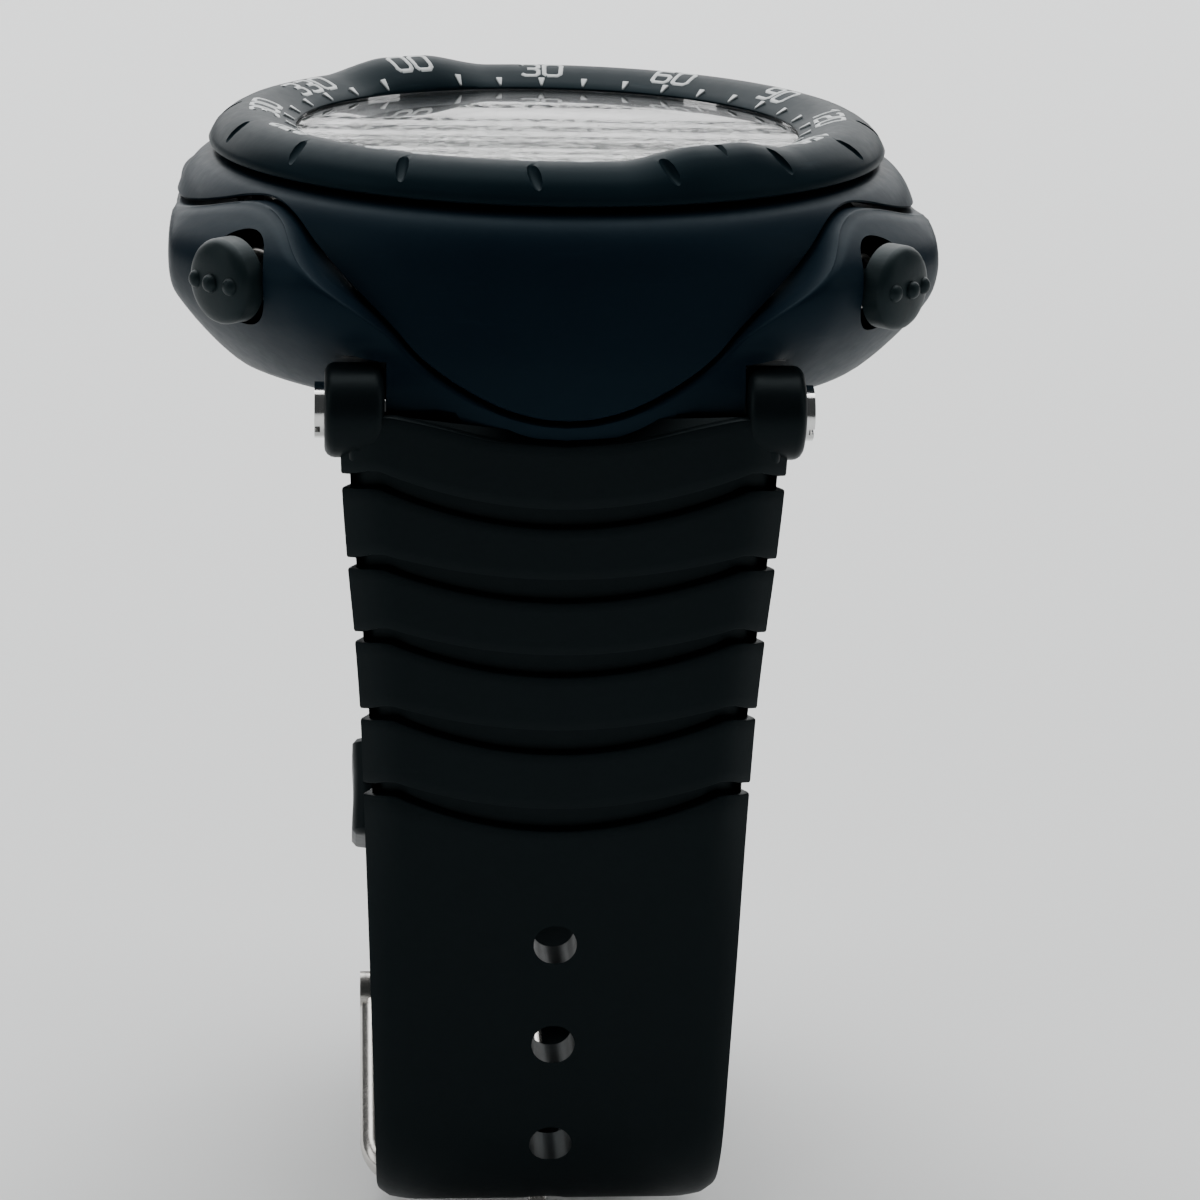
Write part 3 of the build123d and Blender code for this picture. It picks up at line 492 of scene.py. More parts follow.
soft_panel("top_softbox", (0.0, 0.30, 0.9), (0, 0.05, 0), 1.4, 1.0, 12.0)
soft_panel("back_softbox", (0.0, 0.75, 0.36), (0, 0, 0.0), 1.6, 0.62, 9.0)
soft_panel("left_card", (-0.7, -0.15, 0.30), (0, 0, 0), 0.25, 0.5, 0.9)
soft_panel("right_card", (0.7, -0.15, 0.30), (0, 0, 0), 0.25, 0.5, 0.7)

# thin flags before the back softbox draw soft streaks in the crystal's reflection
flag_paint = finish_of("flag_paint", (0.10, 0.11, 0.11), (0.14, 0.15, 0.15), 0.8, scuffs=0.0)
for number, (flag_z, flag_h, flag_lean) in enumerate((
        (0.1262, 0.0007, 0.004), (0.1301, 0.0006, -0.002), (0.1324, 0.0012, 0.003),
        (0.1349, 0.0005, 0.001), (0.1369, 0.0017, -0.003), (0.1391, 0.0005, 0.002),
        (0.1408, 0.0008, 0.0), (0.1428, 0.0012, 0.003))):
    deselect()
    bpy.ops.mesh.primitive_cube_add(size=1.0)
    flag = bpy.context.object
    flag.name = f"streak_flag_{number}"
    flag.data.transform(Matrix.Diagonal((1.2, 0.002, flag_h, 1.0)))
    flag.data.transform(Matrix.Rotation(flag_lean, 4, "Y"))
    flag.data.transform(Matrix.Translation((0.05, 0.70, flag_z)))
    flag.data.materials.append(flag_paint)
sun_data = bpy.data.lights.new("sky_glow", "SUN")
sun_data.energy = 1.9
sun_data.angle = math.radians(60)
sun = bpy.data.objects.new("sky_glow", sun_data)
sun.rotation_euler = (math.radians(-32), 0, 0)
bpy.context.scene.collection.objects.link(sun)
world = bpy.data.worlds.new("studio")
world.use_nodes = True
world.node_tree.nodes["Background"].inputs["Color"].default_value = (0.8, 0.84, 0.86, 1)
world.node_tree.nodes["Background"].inputs["Strength"].default_value = 0.07
bpy.context.scene.world = world


# ---- case: how its skin swells round the case ----
def from_end(theta):
    """Degrees away from the nearer strap end, 0 at the lug and 90 at the side."""
    turned = abs((math.degrees(theta) + 90) % 180)
    return min(turned, 180 - turned)


SEAM = [(0, 0.8), (4, 0.95), (9.4, 1.6), (16.1, 3.05), (21, 4.5), (25, 6.1), (33, 8.7), (38.5, 10.4),
        (43, 11.6), (47.5, 12.25), (52, 12.45), (57, 12.2), (63, 11.6), (70, 11.0), (78, 10.5),
        (90, 10.2)]
SIDE_WALL = [(-1.2, 20.9), (0.4, 21.1), (1.4, 21.9), (2.8, 22.9), (6.0, 24.4), (8.9, 24.97),
             (10.4, 24.95), (11.5, 24.6), (12.6, 24.2)]
LUG_WALL = [(-1.2, 24.9), (0.0, 25.45), (1.6, 25.8), (3.0, 25.85), (5.0, 25.75), (8.9, 25.2),
            (11.2, 24.7), (12.6, 24.2)]
FLARE = [(-1.2, 21.2), (0.4, 21.9), (1.2, 22.9), (2.4, 24.2), (4.2, 25.85), (6.2, 27.3), (8.3, 28.0),
         (9.8, 27.6), (11.0, 26.4), (12.0, 25.0), (12.6, 24.2)]
HALF_WIDTH = 24.97
LUG_FRONT = 24.5
# the lower edge at the lugs, and the strap's upper edge under it, by distance from the middle
STRAP_EDGE = [(0, -0.42), (4, -0.12), (7.8, 0.78), (10.0, 1.28), (11.0, 1.42), (12.2, 1.1), (13.7, 0.3)]


def body_radius(theta, z):
    away = from_end(theta)
    lug = 1 - blend_in(away, 25, 37)
    flare = 1 - blend_in(abs(away - 50), 12, 36)
    wall = smooth_line(SIDE_WALL, z)
    wall += lug * (smooth_line(LUG_WALL, z) - wall)
    wall += flare * max(0.0, smooth_line(FLARE, z) - wall)
    cover = (1 - blend_in(away, 27, 33)) * (1 - blend_in(z, 2.8, 5.6))
    wall += cover * max(0.0, LUG_FRONT / math.cos(math.radians(min(away, 40.0))) - wall)
    widest = HALF_WIDTH / max(0.3, abs(math.cos(theta)))
    over = max(0.0, wall - widest + 0.5)
    return wall - over + 0.5 if over > 1.0 else wall - over * over / 2


SHELL_WALL = [(0.0, 25.8), (1.6, 25.85), (3.0, 25.85), (5.0, 25.75), (8.9, 25.2), (10.6, 24.85),
              (11.6, 24.45), (12.3, 24.0), (12.9, 23.4), (13.3, 22.7)]


def at(theta, radius, z):
    return Vector((radius * math.cos(theta), radius * math.sin(theta), z))


ROUND = 360
WALL_ROWS = 30


def body_loop(theta):
    """The middle case's section: under edge, outer wall, seam lip and inner wall."""
    away = from_end(theta)
    top = smooth_line(SEAM, away)
    at_lug = 1 - blend_in(away, 24.5, 30)
    across = 25.6 * math.sin(math.radians(away))
    behind_lip = 1.5 * blend_in(across, 6.6, 8.8)
    low = 0.6 + at_lug * (smooth_line(STRAP_EDGE, across) + 0.14 - behind_lip - 0.6)
    inner = 20.25
    section = [(inner, 0.6), (20.9, min(low, 0.6))]
    for n in range(WALL_ROWS + 1):
        z = low + 0.12 + (top - 0.3 - low - 0.12) * n / WALL_ROWS
        section.append((body_radius(theta, z), z))
    edge = body_radius(theta, top)
    section += [(edge - 0.04, top - 0.14), (edge - 0.14, top - 0.03), (edge - 0.3, top)]
    section += [(edge - 1.5, top - 0.02), (edge - 1.7, top - 0.10)]
    return section + [(inner + 0.6, top - 0.14), (inner, 0.6)]


def wrap_round(name, loop_at, columns=ROUND):
    loops = [loop_at(2 * math.pi * (n % columns) / columns) for n in range(columns + 1)]

    def place(i, j):
        radius, z = loops[i][j]
        return at(2 * math.pi * i / columns, radius, z)
    return skin(name, columns, len(loops[0]) - 1, place)


middle_case = wrap_round("middle_case", body_loop)
cutters = []
for angle in BUTTON_ANGLES.values():
    chamber = rod(2.98, 22.2, 40.0, 64)
    chamber.matrix_world = button_matrix(angle)
    settle(chamber)
    cutters.append(chamber)
for side in (1, -1):
    for s in (1, -1):
        x0, x1 = sorted((s * (EAR_IN - 0.1), s * (EAR_OUT + 0.9)))
        cutters.append(cross_rod(EAR_R + 0.4, x0, x1, side * PIN_Y, PIN_Z, 64))
carve(middle_case, cutters)
weld(middle_case, 0.004)
lug_bars = []
for side in (1, -1):
    bar = cross_rod(1.5, -10.38, 10.38, side * (PIN_Y - 0.4), PIN_Z - 0.5)
    lug_bars.append(bar)
case_floor = rod(20.9, 0.62, 3.2, 128)
well = rod(20.1, 0.0, 2.0, 128)
carve(case_floor, [well])
middle_case = joined([middle_case] + lug_bars + [case_floor], "middle_case")
finish_piece(middle_case, "case", FINISHES["case_plastic"], ["case_body"], 38)


def shell_loop(theta):
    """The upper shell's section: seam edge, outer wall, shoulder, neck and crystal seat."""
    away = from_end(theta)
    low = smooth_line(SEAM, away) + 0.3
    top = 13.3
    section = [(smooth_line(SHELL_WALL, low) - 1.3, low), (smooth_line(SHELL_WALL, low) - 0.3, low),
               (smooth_line(SHELL_WALL, low + 0.05) - 0.12, low + 0.04)]
    for n in range(WALL_ROWS + 1):
        z = low + 0.16 + (top - low - 0.16) * n / WALL_ROWS
        section.append((smooth_line(SHELL_WALL, z), z))
    section += [(22.4, 13.41), (22.0, SHELL_TOP_Z), (NECK_R + 0.1, SHELL_TOP_Z),
                (NECK_R, SHELL_TOP_Z + 0.1), (NECK_R, NECK_TOP_Z - 0.1), (NECK_R - 0.1, NECK_TOP_Z),
                (18.45, NECK_TOP_Z), (18.45, 12.75), (20.6, 12.7)]
    inner_top = 12.7
    for n in range(1, 9):
        z = inner_top + (low - inner_top) * n / 8 if low < inner_top else low
        section.append((smooth_line(SHELL_WALL, z) - 1.3, z))
    return section


upper_shell = wrap_round("upper_shell", shell_loop)
finish_piece(upper_shell, "case", FINISHES["case_plastic"], ["top_shell"], 34)


# ---- turning bezel ----
BEZEL_PROFILE = [(16.9, 14.90, 0.0), (16.9, 15.02, 0.02), (17.0, 15.12, 0.1), (17.5, 15.38, 0.36),
                 (18.0, 15.62, 0.55), (18.6, 15.88, 0.72), (19.2, 16.09, 0.74), (19.8, 16.2, 0.78),
                 (20.3, 16.17, 0.8), (20.9, 16.0, 0.76), (21.4, 15.74, 0.66), (21.9, 15.38, 0.46),
                 (22.3, 14.98, 0.26), (22.55, 14.55, 0.1), (22.72, 14.2, 0.0), (22.66, 13.95, 0.0),
                 (22.4, 13.8, 0.0), (21.8, 13.75, 0.0), (19.68, 13.75, 0.0), (19.68, 14.90, 0.0),
                 (16.9, 14.90, 0.0)]
TOP_LINE = [(r, z) for r, z, lift in BEZEL_PROFILE[2:15]]
TOP_LIFT = [(r, lift) for r, z, lift in BEZEL_PROFILE[2:15]]


def hump(theta):
    """How far the two grip humps raise the rim."""
    turned = (math.degrees(theta) - ZERO_DEG + 90) % 180 - 90
    return 1.0 - blend_in(abs(turned), 4.0, 19.0)


def bezel_top(theta, radius):
    return on_line(TOP_LINE, radius) + hump(theta) * on_line(TOP_LIFT, radius)


def bezel_loop(theta):
    return [(r, z + lift * hump(theta)) for r, z, lift in BEZEL_PROFILE]


bezel = wrap_round("bezel_ring", bezel_loop, 480)
cutters = []
for number in range(16):
    turned = math.radians(ZERO_DEG + (number + 0.5) * 22.5)
    deselect()
    bpy.ops.mesh.primitive_uv_sphere_add(segments=32, ring_count=20, radius=1.0)
    scoop = bpy.context.object
    scoop.data.transform(Matrix.Diagonal((1.5, 0.42, 0.42, 1.0)))
    scoop.matrix_world = (Matrix.Rotation(turned, 4, "Z")
                          @ Matrix.Translation((21.6, 0, 15.72 + hump(turned) * 0.55))
                          @ Matrix.Rotation(math.radians(38 + 8 * hump(turned)), 4, "Y")
                          @ Matrix.Rotation(math.radians(16), 4, "Z"))
    settle(scoop)
    cutters.append(scoop)
for turned in (ZERO_DEG, ZERO_DEG + 180):
    notch = rod(0.42, -1.7, 1.7, 4)
    notch.matrix_world = (Matrix.Rotation(math.radians(turned), 4, "Z")
                          @ Matrix.Translation((20.6, 0, 17.05)) @ Matrix.Rotation(math.radians(104), 4, "Y"))
    settle(notch)
    cutters.append(notch)
carve(bezel, cutters)
weld(bezel, 0.003)
finish_piece(bezel, "bezel", FINISHES["bezel_plastic"], ["bezel"], 40)

# numerals are drawn with rounded strokes on a 1.0 by 1.5 cell
STROKES = {
    "0": [[(0.18, 0.0), (0.82, 0.0), (1.0, 0.2), (1.0, 1.3), (0.82, 1.5), (0.18, 1.5), (0.0, 1.3),
           (0.0, 0.2), (0.18, 0.0)]],
    "1": [[(0.2, 1.2), (0.55, 1.5), (0.55, 0.0)]],
    "2": [[(0.0, 1.3), (0.18, 1.5), (0.82, 1.5), (1.0, 1.3), (1.0, 0.95), (0.82, 0.78), (0.18, 0.7),
           (0.0, 0.5), (0.0, 0.0), (1.0, 0.0)]],
    "3": [[(0.0, 1.35), (0.18, 1.5), (0.82, 1.5), (1.0, 1.3), (1.0, 0.95), (0.8, 0.76), (0.35, 0.76)],
          [(0.8, 0.76), (1.0, 0.58), (1.0, 0.2), (0.82, 0.0), (0.18, 0.0), (0.0, 0.15)]],
    "4": [[(0.75, 0.0), (0.75, 1.5), (0.0, 0.45), (1.05, 0.45)]],
    "5": [[(1.0, 1.5), (0.05, 1.5), (0.0, 0.85), (0.82, 0.85), (1.0, 0.65), (1.0, 0.2), (0.82, 0.0),
           (0.0, 0.0)]],
    "6": [[(0.95, 1.5), (0.18, 1.5), (0.0, 1.3), (0.0, 0.2), (0.18, 0.0), (0.82, 0.0), (1.0, 0.2),
           (1.0, 0.65), (0.82, 0.82), (0.05, 0.82)]],
    "7": [[(0.0, 1.5), (1.0, 1.5), (0.4, 0.0)]],
    "8": [[(0.18, 0.0), (0.82, 0.0), (1.0, 0.2), (1.0, 0.58), (0.82, 0.76), (1.0, 0.95), (1.0, 1.3),
           (0.82, 1.5), (0.18, 1.5), (0.0, 1.3), (0.0, 0.95), (0.18, 0.76), (0.0, 0.58), (0.0, 0.2),
           (0.18, 0.0)], [(0.18, 0.76), (0.82, 0.76)]],
    "9": [[(0.05, 0.0), (0.82, 0.0), (1.0, 0.2), (1.0, 1.3), (0.82, 1.5), (0.18, 1.5), (0.0, 1.3),
           (0.0, 0.88), (0.18, 0.7), (0.95, 0.7)]],
}


def stroke_text(text, width, height, pen, gap=0.35):
    """Rounded stroke figures as one mesh, centred, lying flat."""
    curve = bpy.data.curves.new("strokes", "CURVE")
    curve.dimensions = "3D"
    curve.bevel_depth = pen / 2
    curve.bevel_resolution = 3
    curve.use_fill_caps = True
    total = len(text) * width + (len(text) - 1) * gap * width
    for index, figure in enumerate(text):
        for line in STROKES[figure]:
            spline = curve.splines.new("POLY")
            spline.points.add(len(line) - 1)
            for point, (x, y) in zip(spline.points, line):
                across = x * width + index * (1 + gap) * width - total / 2
                point.co = (across, (y / 1.5 - 0.5) * height, 0, 1)
    drawn = bpy.data.objects.new("strokes", curve)
    bpy.context.scene.collection.objects.link(drawn)
    take(drawn)
    bpy.ops.object.convert(target="MESH")
    piece = bpy.context.object
    for _ in range(2):
        edit(piece, "EDGE")
        for edge in piece.data.edges:
            a, b = (piece.data.vertices[v].co for v in edge.vertices)
            edge.select = (a - b).length > 0.25
        bpy.ops.object.mode_set(mode="EDIT")
        bpy.ops.mesh.subdivide(number_cuts=1)
        close_edit()
    return piece


def lay_on_bezel(piece, degrees, radius, thick):
    """Bend a flat mark round the bezel and press it onto the rim."""
    middle = math.radians(degrees)
    for vertex in piece.data.vertices:
        reach = radius + vertex.co.y
        theta = middle - vertex.co.x / radius
        vertex.co = at(theta, reach, bezel_top(theta, reach) + vertex.co.z * thick)


figures = []
for number in range(12):
    figure = stroke_text("00" if number == 0 else str(number * 30), 1.22, 1.72, 0.34)
    lay_on_bezel(figure, ZERO_DEG - number * 30, 19.0, 0.3)
    figures.append(figure)
numerals = joined(figures, "bezel_numerals")
finish_piece(numerals, "bezel", NUMERAL_PAINT, [], 50)

ticks = []
for number in range(36):
    if number == 0:
        continue
    deselect()
    bpy.ops.mesh.primitive_cube_add(size=1.0)
    tick = bpy.context.object
    tick.data.transform(Matrix.Diagonal((0.46, 0.72, 0.3, 1.0)))
    pick_faces(tick, lambda centre, normal: normal.y < -0.9)
    bpy.ops.transform.resize(value=(0.3, 1.0, 0.7))
    close_edit()
    put_modifier(tick, "BEVEL", width=0.045, segments=2)
    lay_on_bezel(tick, ZERO_DEG - number * 10, 17.36, 1.0)
    ticks.append(tick)
tick_marks = joined(ticks, "bezel_ticks")
finish_piece(tick_marks, "bezel", NUMERAL_PAINT, [], 50)

# ---- figures on the display under the crystal ----
display_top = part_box("display_panel")[1].z / MM
readings = []
for text, across, away, width, height in (("1045", 0.0, 0.8, 3.0, 6.0), ("1220", 0.0, 8.0, 1.5, 2.8),
                                          ("18", 0.0, -7.2, 1.5, 2.8)):
    reading = stroke_text(text, width, height, 0.14 * height ** 0.75)
    reading.data.transform(Matrix.Diagonal((1.0, 1.0, 0.05, 1.0)))
    reading.data.transform(Matrix.Translation((across, away, display_top + 0.012)))
    readings.append(reading)
figures_shown = joined(readings, "display_figures")
finish_piece(figures_shown, "case", SEGMENT_INK, [], 50)

# ---- buttons: domed caps with three nubs in a row ----
for name, angle in BUTTON_ANGLES.items():
    cap = rod(2.7, CAP_UNDER - 0.6, 28.6, 64)
    pick_faces(cap, lambda centre, normal: normal.z > 0.9)
    for inset, rise in ((0.02, 0.12), (0.10, 0.22), (0.18, 0.20), (0.35, 0.16), (0.5, 0.12), (0.5, 0.06),
                        (0.5, 0.03)):
        bpy.ops.mesh.inset(thickness=inset, depth=0.0)
        bpy.ops.transform.translate(value=(0, 0, rise))
    close_edit()
    pick_faces(cap, lambda centre, normal: normal.z < -0.9)
    bpy.ops.mesh.inset(thickness=0.6, depth=0.0)
    bpy.ops.transform.translate(value=(0, 0, 0.6))
    close_edit()
    parts = [cap, rod(0.85, STEM_INNER, CAP_UNDER + 0.2, 32)]
    for offset in (-1.6, 0.0, 1.6):
        deselect()
        bpy.ops.mesh.primitive_uv_sphere_add(segments=24, ring_count=12, radius=0.58)
        nub = bpy.context.object
        nub.data.transform(Matrix.Diagonal((0.95, 1.0, 0.85, 1.0)))
        nub.data.transform(Matrix.Translation((offset, 0, 29.55 - 0.16 * abs(offset))))
        parts.append(nub)
    cap = joined(parts, f"{name}_cap")
    cap.matrix_world = button_matrix(angle)
    settle(cap)
    finish_piece(cap, f"{name}_button", FINISHES["button_plastic"],
                 [f"{name}_button"], 42)


# ---- straps: a section carried along a path of runs and bends, in (y, z) ----
def walk(start, heading, steps):
    y, z = start
    legs = []
    for size, turned in steps:
        h0, h1 = math.radians(heading), math.radians(heading + turned)
        if turned:
            bend = math.copysign(size, turned)
            centre = (y - bend * math.sin(h0), z + bend * math.cos(h0))
            end = (centre[0] + bend * math.sin(h1), centre[1] - bend * math.cos(h1))
            length = size * abs(h1 - h0)
        else:
            bend, centre, length = 0.0, None, size
            end = (y + size * math.cos(h0), z + size * math.sin(h0))
        legs.append(((y, z), end, h0, h1, centre, bend, length))
        (y, z), heading = end, heading + turned
    return legs


def along(legs, distance):
    """Point and heading that far along a path."""
    for start, end, h0, h1, centre, bend, length in legs:
        if distance <= length:
            break
        distance -= length
    share = min(1.0, distance / length)
    heading = h0 + (h1 - h0) * share
    if bend:
        return centre[0] + bend * math.sin(heading), centre[1] - bend * math.cos(heading), heading
    return (start[0] + share * (end[0] - start[0]), start[1] + share * (end[1] - start[1]), heading)


RUN_DEG, CORNER_DEG, CORNER_R, KEEPER_RUN, BACK_R = 10.0, 60.0, 8.0, 13.0, 27.6
HINGE = (-0.2, -48.2)
SHORT_T, TAIL_T, LONG_T, STACK = 2.6, 2.3, 2.8, 3.1
STRAP_TOP = 2.4
run, corner = math.radians(RUN_DEG), math.radians(CORNER_DEG)
turned_y = (CORNER_R * (math.sin(corner) - math.sin(run)) + KEEPER_RUN * math.cos(corner)
            + BACK_R * (1 - math.sin(corner)))
SHORT_RUN = (STRAP_LINE - HINGE[0] - turned_y) / math.cos(run)
short_steps = [(SHORT_RUN, 0), (CORNER_R, CORNER_DEG - RUN_DEG), (KEEPER_RUN, 0), (BACK_R, 90 - CORNER_DEG)]
short_up = STRAP_TOP - walk(HINGE, RUN_DEG, short_steps)[-1][1][1]
short_legs = walk(HINGE, RUN_DEG, short_steps + [(short_up, 0)])
foot = (HINGE[0] + STACK * math.sin(run), HINGE[1] - STACK * math.cos(run))
bend_end_y = -STRAP_LINE + 8.0 * (1 + math.sin(run))
run_in = (foot[0] - bend_end_y) / math.cos(run)
bend_end_z = foot[1] - run_in * math.sin(run)
drop = STRAP_TOP - (bend_end_z + 8.0 * math.cos(run))
long_legs = (walk((-STRAP_LINE, STRAP_TOP), -90.0, [(drop, 0), (8.0, 90.0 + RUN_DEG)])
             + walk((bend_end_y, bend_end_z), RUN_DEG,
                    [(run_in + SHORT_RUN, 0), (CORNER_R + STACK, CORNER_DEG - RUN_DEG), (KEEPER_RUN, 0),
                     (BACK_R + STACK, 90 - CORNER_DEG), (9.0, 0)]))
LONG_LENGTH = sum(leg[-1] for leg in long_legs)
SHORT_LENGTH = sum(leg[-1] for leg in short_legs)
FRONT_LENGTH = long_legs[0][-1] + long_legs[1][-1]

LONG_HALF = [(-100.0, 11.0), (-55.0, 11.3), (-40.0, 11.75), (-23.3, 12.38), (-18.0, 12.62), (-13.0, 13.0),
             (-8.3, 13.45), (-2.6, 13.85), (4.5, 14.0)]
# groove edges as (side, shoulder, middle) heights: the band above ends, the band below starts
GROOVES = [((-2.6, -2.1, -4.5), (-3.5, -3.2, -5.75)),
           ((-8.0, -7.45, -9.05), (-8.7, -8.4, -10.55)),
           ((-12.85, -12.25, -14.0), (-13.5, -13.2, -15.45)),
           ((-17.95, -17.4, -19.0), (-18.65, -18.3, -20.6)),
           ((-23.0, -22.5, -24.3), (-23.7, -23.4, -25.8))]


def groove_height(edge, share):
    """Height of a groove edge at a share of the half width."""
    side, shoulder, middle = edge
    share = abs(share)
    if share > 0.84:
        return shoulder + (side - shoulder) * blend_in(share, 0.84, 1.0)
    return middle + (shoulder - middle) * (share / 0.84) ** 2


GROOVE_DEEP = 0.75
SECTION = ([(-1 + 2 * n / 36, "out") for n in range(37)]
           + [(1.0, "edge"), (1 - 0.04, "in")] + [(1 - 0.04 - 1.92 * n / 12, "in") for n in range(1, 13)]
           + [(-1.0, "edge"), (-1.0, "out")])


def strap_section(half, thick, crown, share, face, sunk, notch):
    """Across and outward offsets of one point of the strap's section."""
    width = half - notch
    x = share * width
    if face == "edge":
        return x, 0.0
    if face == "in":
        return share * (width - 0.25), -thick / 2
    fall = crown * blend_in(abs(share), 0.78, 1.0) ** 1.3
    tip = 0.35 * blend_in(abs(share), 0.955, 1.0)
    return x, thick / 2 - fall - tip - sunk


def strap_skin(name, legs, rows, half_at, thick_at, crown_at, up_sign, top_at=0.0):
    """rows: (distance or a function of the share across, how deep, how far in at the side)."""
    def place(i, j):
        share, face = SECTION[j]
        distance_of, sunk, notch = rows[i]
        distance = distance_of(share) if callable(distance_of) else distance_of
        y, z, heading = along(legs, distance)
        half = half_at(distance, z)
        x, out = strap_section(half, thick_at(distance), crown_at(distance), share, face,
                               sunk, notch)
        lip = 1 - blend_in(abs(distance - top_at), 3.0, 5.4)
        if face == "in":
            out += lip * 1.85
        return Vector((x, y + up_sign * out * math.sin(heading), z - up_sign * out * math.cos(heading)))
    return skin(name, len(rows) - 1, len(SECTION) - 1, place)


def row_at(height):
    """Distance along the front strap of a height on its upright run."""
    return STRAP_TOP - height


def edge_top(share, below):
    """The strap's curved upper edge, and the rows just below it."""
    return row_at(smooth_line(STRAP_EDGE, abs(share) * 13.6)) + below


TOP_ROWS = ((0.0, 0.42), (0.03, 0.14), (0.1, 0.03), (0.22, 0.0))
long_rows = [(lambda share, below=below: edge_top(share, below), sunk, sunk)
             for below, sunk in TOP_ROWS]


def edge_row(edge, shift):
    return lambda share: row_at(groove_height(edge, share)) + shift


def between(first, second, part):
    return lambda share: first(share) + (second(share) - first(share)) * part


last = long_rows[-1][0]
for above, below in GROOVES:
    start = edge_row(above, -0.14)
    for n in range(1, 6):
        long_rows.append((between(last, start, n / 6), 0.0, 0.0))
    long_rows.append((start, 0.0, 0.0))
    long_rows.append((edge_row(above, -0.03), 0.05, 0.04))
    long_rows.append((edge_row(above, 0.0), 0.16, 0.10))
    long_rows.append((edge_row(above, 0.03), GROOVE_DEEP, 0.55))
    long_rows.append((edge_row(below, -0.05), GROOVE_DEEP, 0.55))
    long_rows.append((edge_row(below, 0.0), 0.16, 0.10))
    long_rows.append((edge_row(below, 0.04), 0.04, 0.03))
    last = edge_row(below, 0.16)
    long_rows.append((last, 0.0, 0.0))
flat_start = row_at(-27.5)
for n in range(1, 4):
    long_rows.append((between(last, lambda share: flat_start, n / 3), 0.0, 0.0))
steps = 150
for n in range(1, steps + 1):
    long_rows.append((flat_start + (LONG_LENGTH - flat_start) * n / steps, 0.0, 0.0))


def long_half(distance, z):
    if distance < FRONT_LENGTH:
        half = smooth_line(LONG_HALF, z)
        near_end = blend_in(distance, FRONT_LENGTH - 9.0, FRONT_LENGTH + 0.5)
        return half + near_end * (10.2 - half)
    left = LONG_LENGTH - distance
    return 10.2 - 6.0 * (1 - math.sqrt(max(0.0, 1 - max(0.0, 1 - left / 7.0) ** 2)))


def long_thick(distance):
    return LONG_T + (TAIL_T - LONG_T) * blend_in(distance, FRONT_LENGTH - 10, FRONT_LENGTH)


def long_crown(distance):
    return 1.05 - 0.75 * blend_in(distance, 26.0, 40.0)


strap = strap_skin("strap_long_band", long_legs, long_rows, long_half, long_thick, long_crown, 1)
cap_holes(strap)


HOLE_R, HOLE_WIDER, HOLE_STEP, PRONG_BACK = 1.3, 0.1, 7.0, 7.0


def slot_cutter(y, z, heading):
    """A slightly widened round bar through the strap at a hole."""
    cutter = rod(HOLE_R, -4, 4, 40)
    for vertex in cutter.data.vertices:
        vertex.co.x += math.copysign(HOLE_WIDER, vertex.co.x) if abs(vertex.co.x) > 0.01 else 0.0
    cutter.matrix_world = (Matrix.Translation((0, y, z))
                           @ Matrix.Rotation(heading, 4, "X"))
    settle(cutter)
    return cutter


prong_distance = FRONT_LENGTH + run_in - PRONG_BACK
carve(strap, [slot_cutter(*along(long_legs, prong_distance + number * HOLE_STEP))
              for number in range(-5, 3)], "FAST")


def ear_pieces(side, half):
    """The two ears over the lug, with the cheeks that join them to the strap."""
    pieces = []
    for s in (1, -1):
        x0, x1 = sorted((s * EAR_IN, s * EAR_OUT))
        ear = cross_rod(EAR_R, x0, x1, side * PIN_Y, PIN_Z, 72)
        soften(ear, 0.65, 4, 50)
        pieces.append(ear)
        x0, x1 = sorted((s * EAR_IN, s * (half - 0.15)))
        heel = cross_rod(1.75, x0, x1, side * (STRAP_LINE - 0.95), PIN_Z - 1.9, 48)
        soften(heel, 0.4, 3, 50)
        pieces.append(heel)
    return pieces


strap_long = joined([strap] + ear_pieces(-1, 13.55), "strap_long_band")
finish_piece(strap_long, "case", FINISHES["strap_rubber"], ["strap_long"], 34)

SHORT_HALF = [(-60.0, 10.25), (-44.0, 10.3), (-34.0, 10.9), (-24.0, 11.9), (-13.0, 12.8), (-2.6, 13.4),
              (4.5, 13.5)]
short_flat = SHORT_LENGTH - 6.0
short_rows = [(short_flat * n / 100, 0.0, 0.0) for n in range(101)]
for n in range(1, 6):
    short_rows.append((lambda share, part=n / 6: short_flat + part * (SHORT_LENGTH - edge_top(share, 0.22)
                                                                       - short_flat), 0.0, 0.0))
short_rows += [(lambda share, below=below: SHORT_LENGTH - edge_top(share, below), sunk, sunk)
               for below, sunk in reversed(TOP_ROWS)]
short_strap = strap_skin("strap_short_band", short_legs, short_rows,
                         lambda distance, z: smooth_line(SHORT_HALF, z),
                         lambda distance: SHORT_T, lambda distance: 0.5, 1, SHORT_LENGTH)
cap_holes(short_strap)


def prong_window():
    """The block that makes room for the prong in the short strap's end."""
    deselect()
    bpy.ops.mesh.primitive_cube_add(size=1.0)
    window = bpy.context.object
    window.data.transform(Matrix.Diagonal((3.6, 8.0, 6.0, 1.0)))
    window.data.transform(Matrix.Translation((0, HINGE[0] - 1.0, HINGE[1])))
    return window


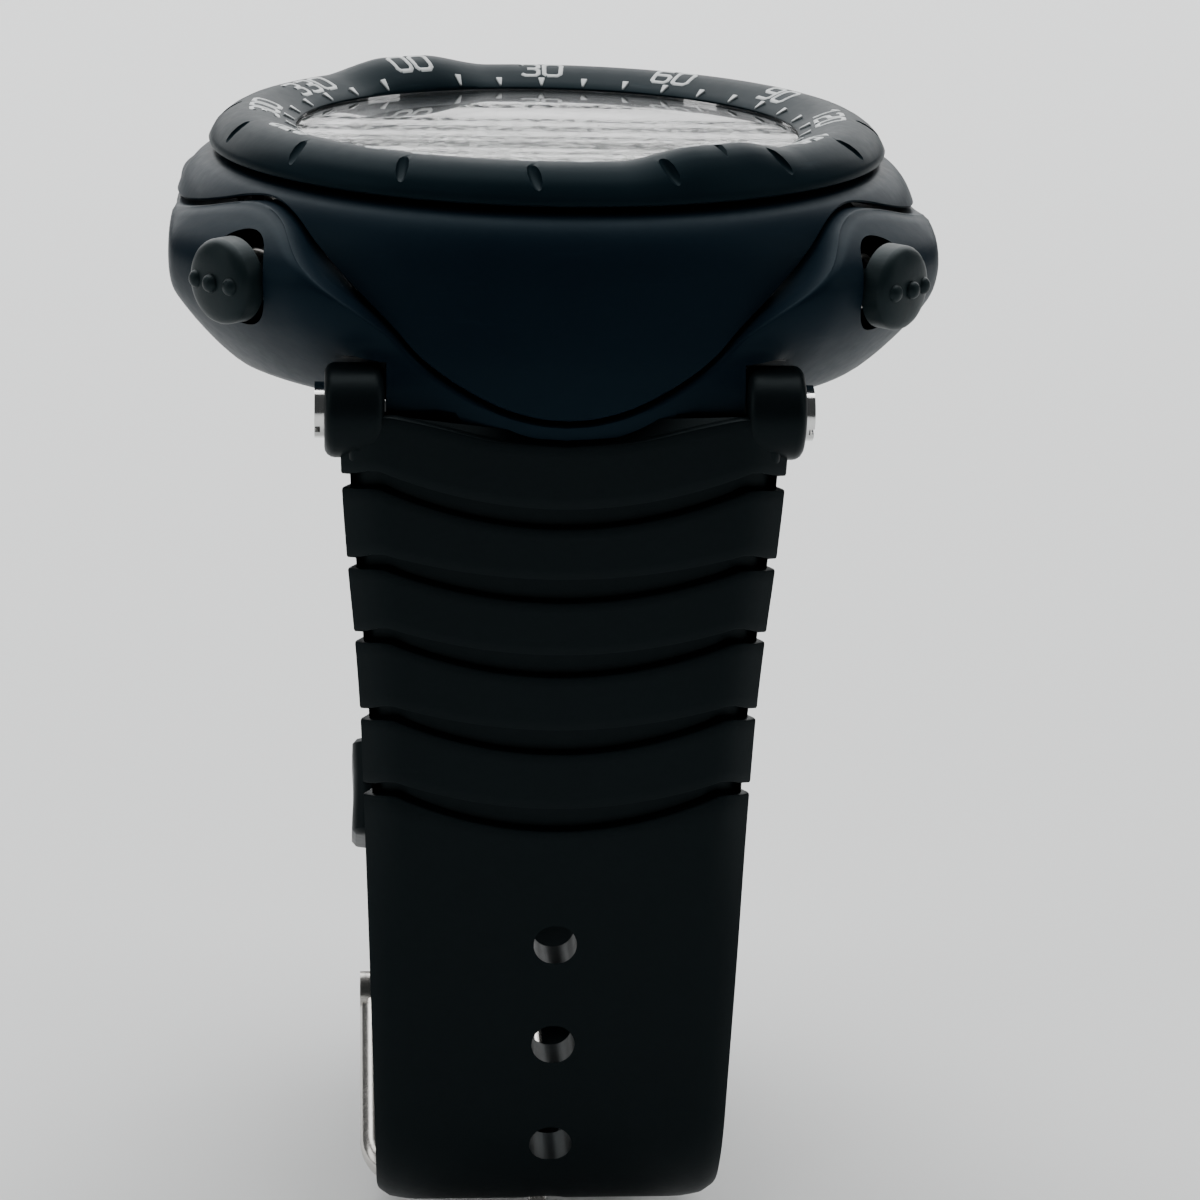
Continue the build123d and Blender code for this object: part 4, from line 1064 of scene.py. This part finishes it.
barrels = [cross_rod(1.65, *ends, *HINGE) for ends in ((-10.2, -1.8), (1.8, 10.2))]
carve(short_strap, [prong_window()], "FAST")
short_strap = joined([short_strap] + barrels + ear_pieces(1, 13.35), "strap_short_band")
finish_piece(short_strap, "case", FINISHES["strap_rubber"], ["strap_short"], 34)

# ---- keeper: a moulded loop round both straps ----
KEEPER_LENGTH, KEEPER_WALL, KEEPER_HALF = 7.5, 1.4, 11.5
straight = short_legs[2]
KEEPER_LOW = 2.0
keeper_mid = ((straight[0][0] + straight[1][0]) / 2 - KEEPER_LOW * math.cos(corner),
              (straight[0][1] + straight[1][1]) / 2 - KEEPER_LOW * math.sin(corner))
keeper_in, keeper_out = SHORT_T / 2 + 0.3, STACK + TAIL_T / 2 + 0.3
keeper_depth = keeper_in + keeper_out
keeper_shift = (keeper_out - keeper_in) / 2


def keeper_outline(grow, round_r, count=72):
    """A rounded rectangle's points, (across, outward)."""
    a, b = KEEPER_HALF + grow, keeper_depth / 2 + grow
    points = []
    for quarter in range(4):
        cx = (a - round_r) * (1 if quarter in (0, 3) else -1)
        cy = (b - round_r) * (1 if quarter in (0, 1) else -1)
        for n in range(count // 4):
            t = math.radians(90 * quarter + 90 * n / (count // 4 - 1))
            points.append((cx + round_r * math.cos(t), cy + round_r * math.sin(t)))
    return points


KEEPER_RINGS = [(0.02, -0.5), (0.0, -0.47), (0.0, 0.47), (0.02, 0.5), (0.35, 0.5), (0.8, 0.485), (1.0, 0.44),
                (1.0, 0.3), (0.94, 0.1), (0.94, -0.1), (1.0, -0.3), (1.0, -0.44), (0.8, -0.485),
                (0.35, -0.5), (0.02, -0.5)]
keeper_count = 72


def keeper_point(i, j):
    grow, run_share = KEEPER_RINGS[j]
    outline = keeper_outline(grow * KEEPER_WALL, 0.3 + 1.3 * grow)
    across, out = outline[i % len(outline)]
    out += keeper_shift
    along_y = run_share * KEEPER_LENGTH
    return Vector((across, keeper_mid[0] + out * math.sin(corner) + along_y * math.cos(corner),
                   keeper_mid[1] - out * math.cos(corner) + along_y * math.sin(corner)))


keeper = skin("keeper_loop", keeper_count, len(KEEPER_RINGS) - 1, keeper_point)
finish_piece(keeper, "keeper", FINISHES["strap_rubber"], ["keeper"], 40)
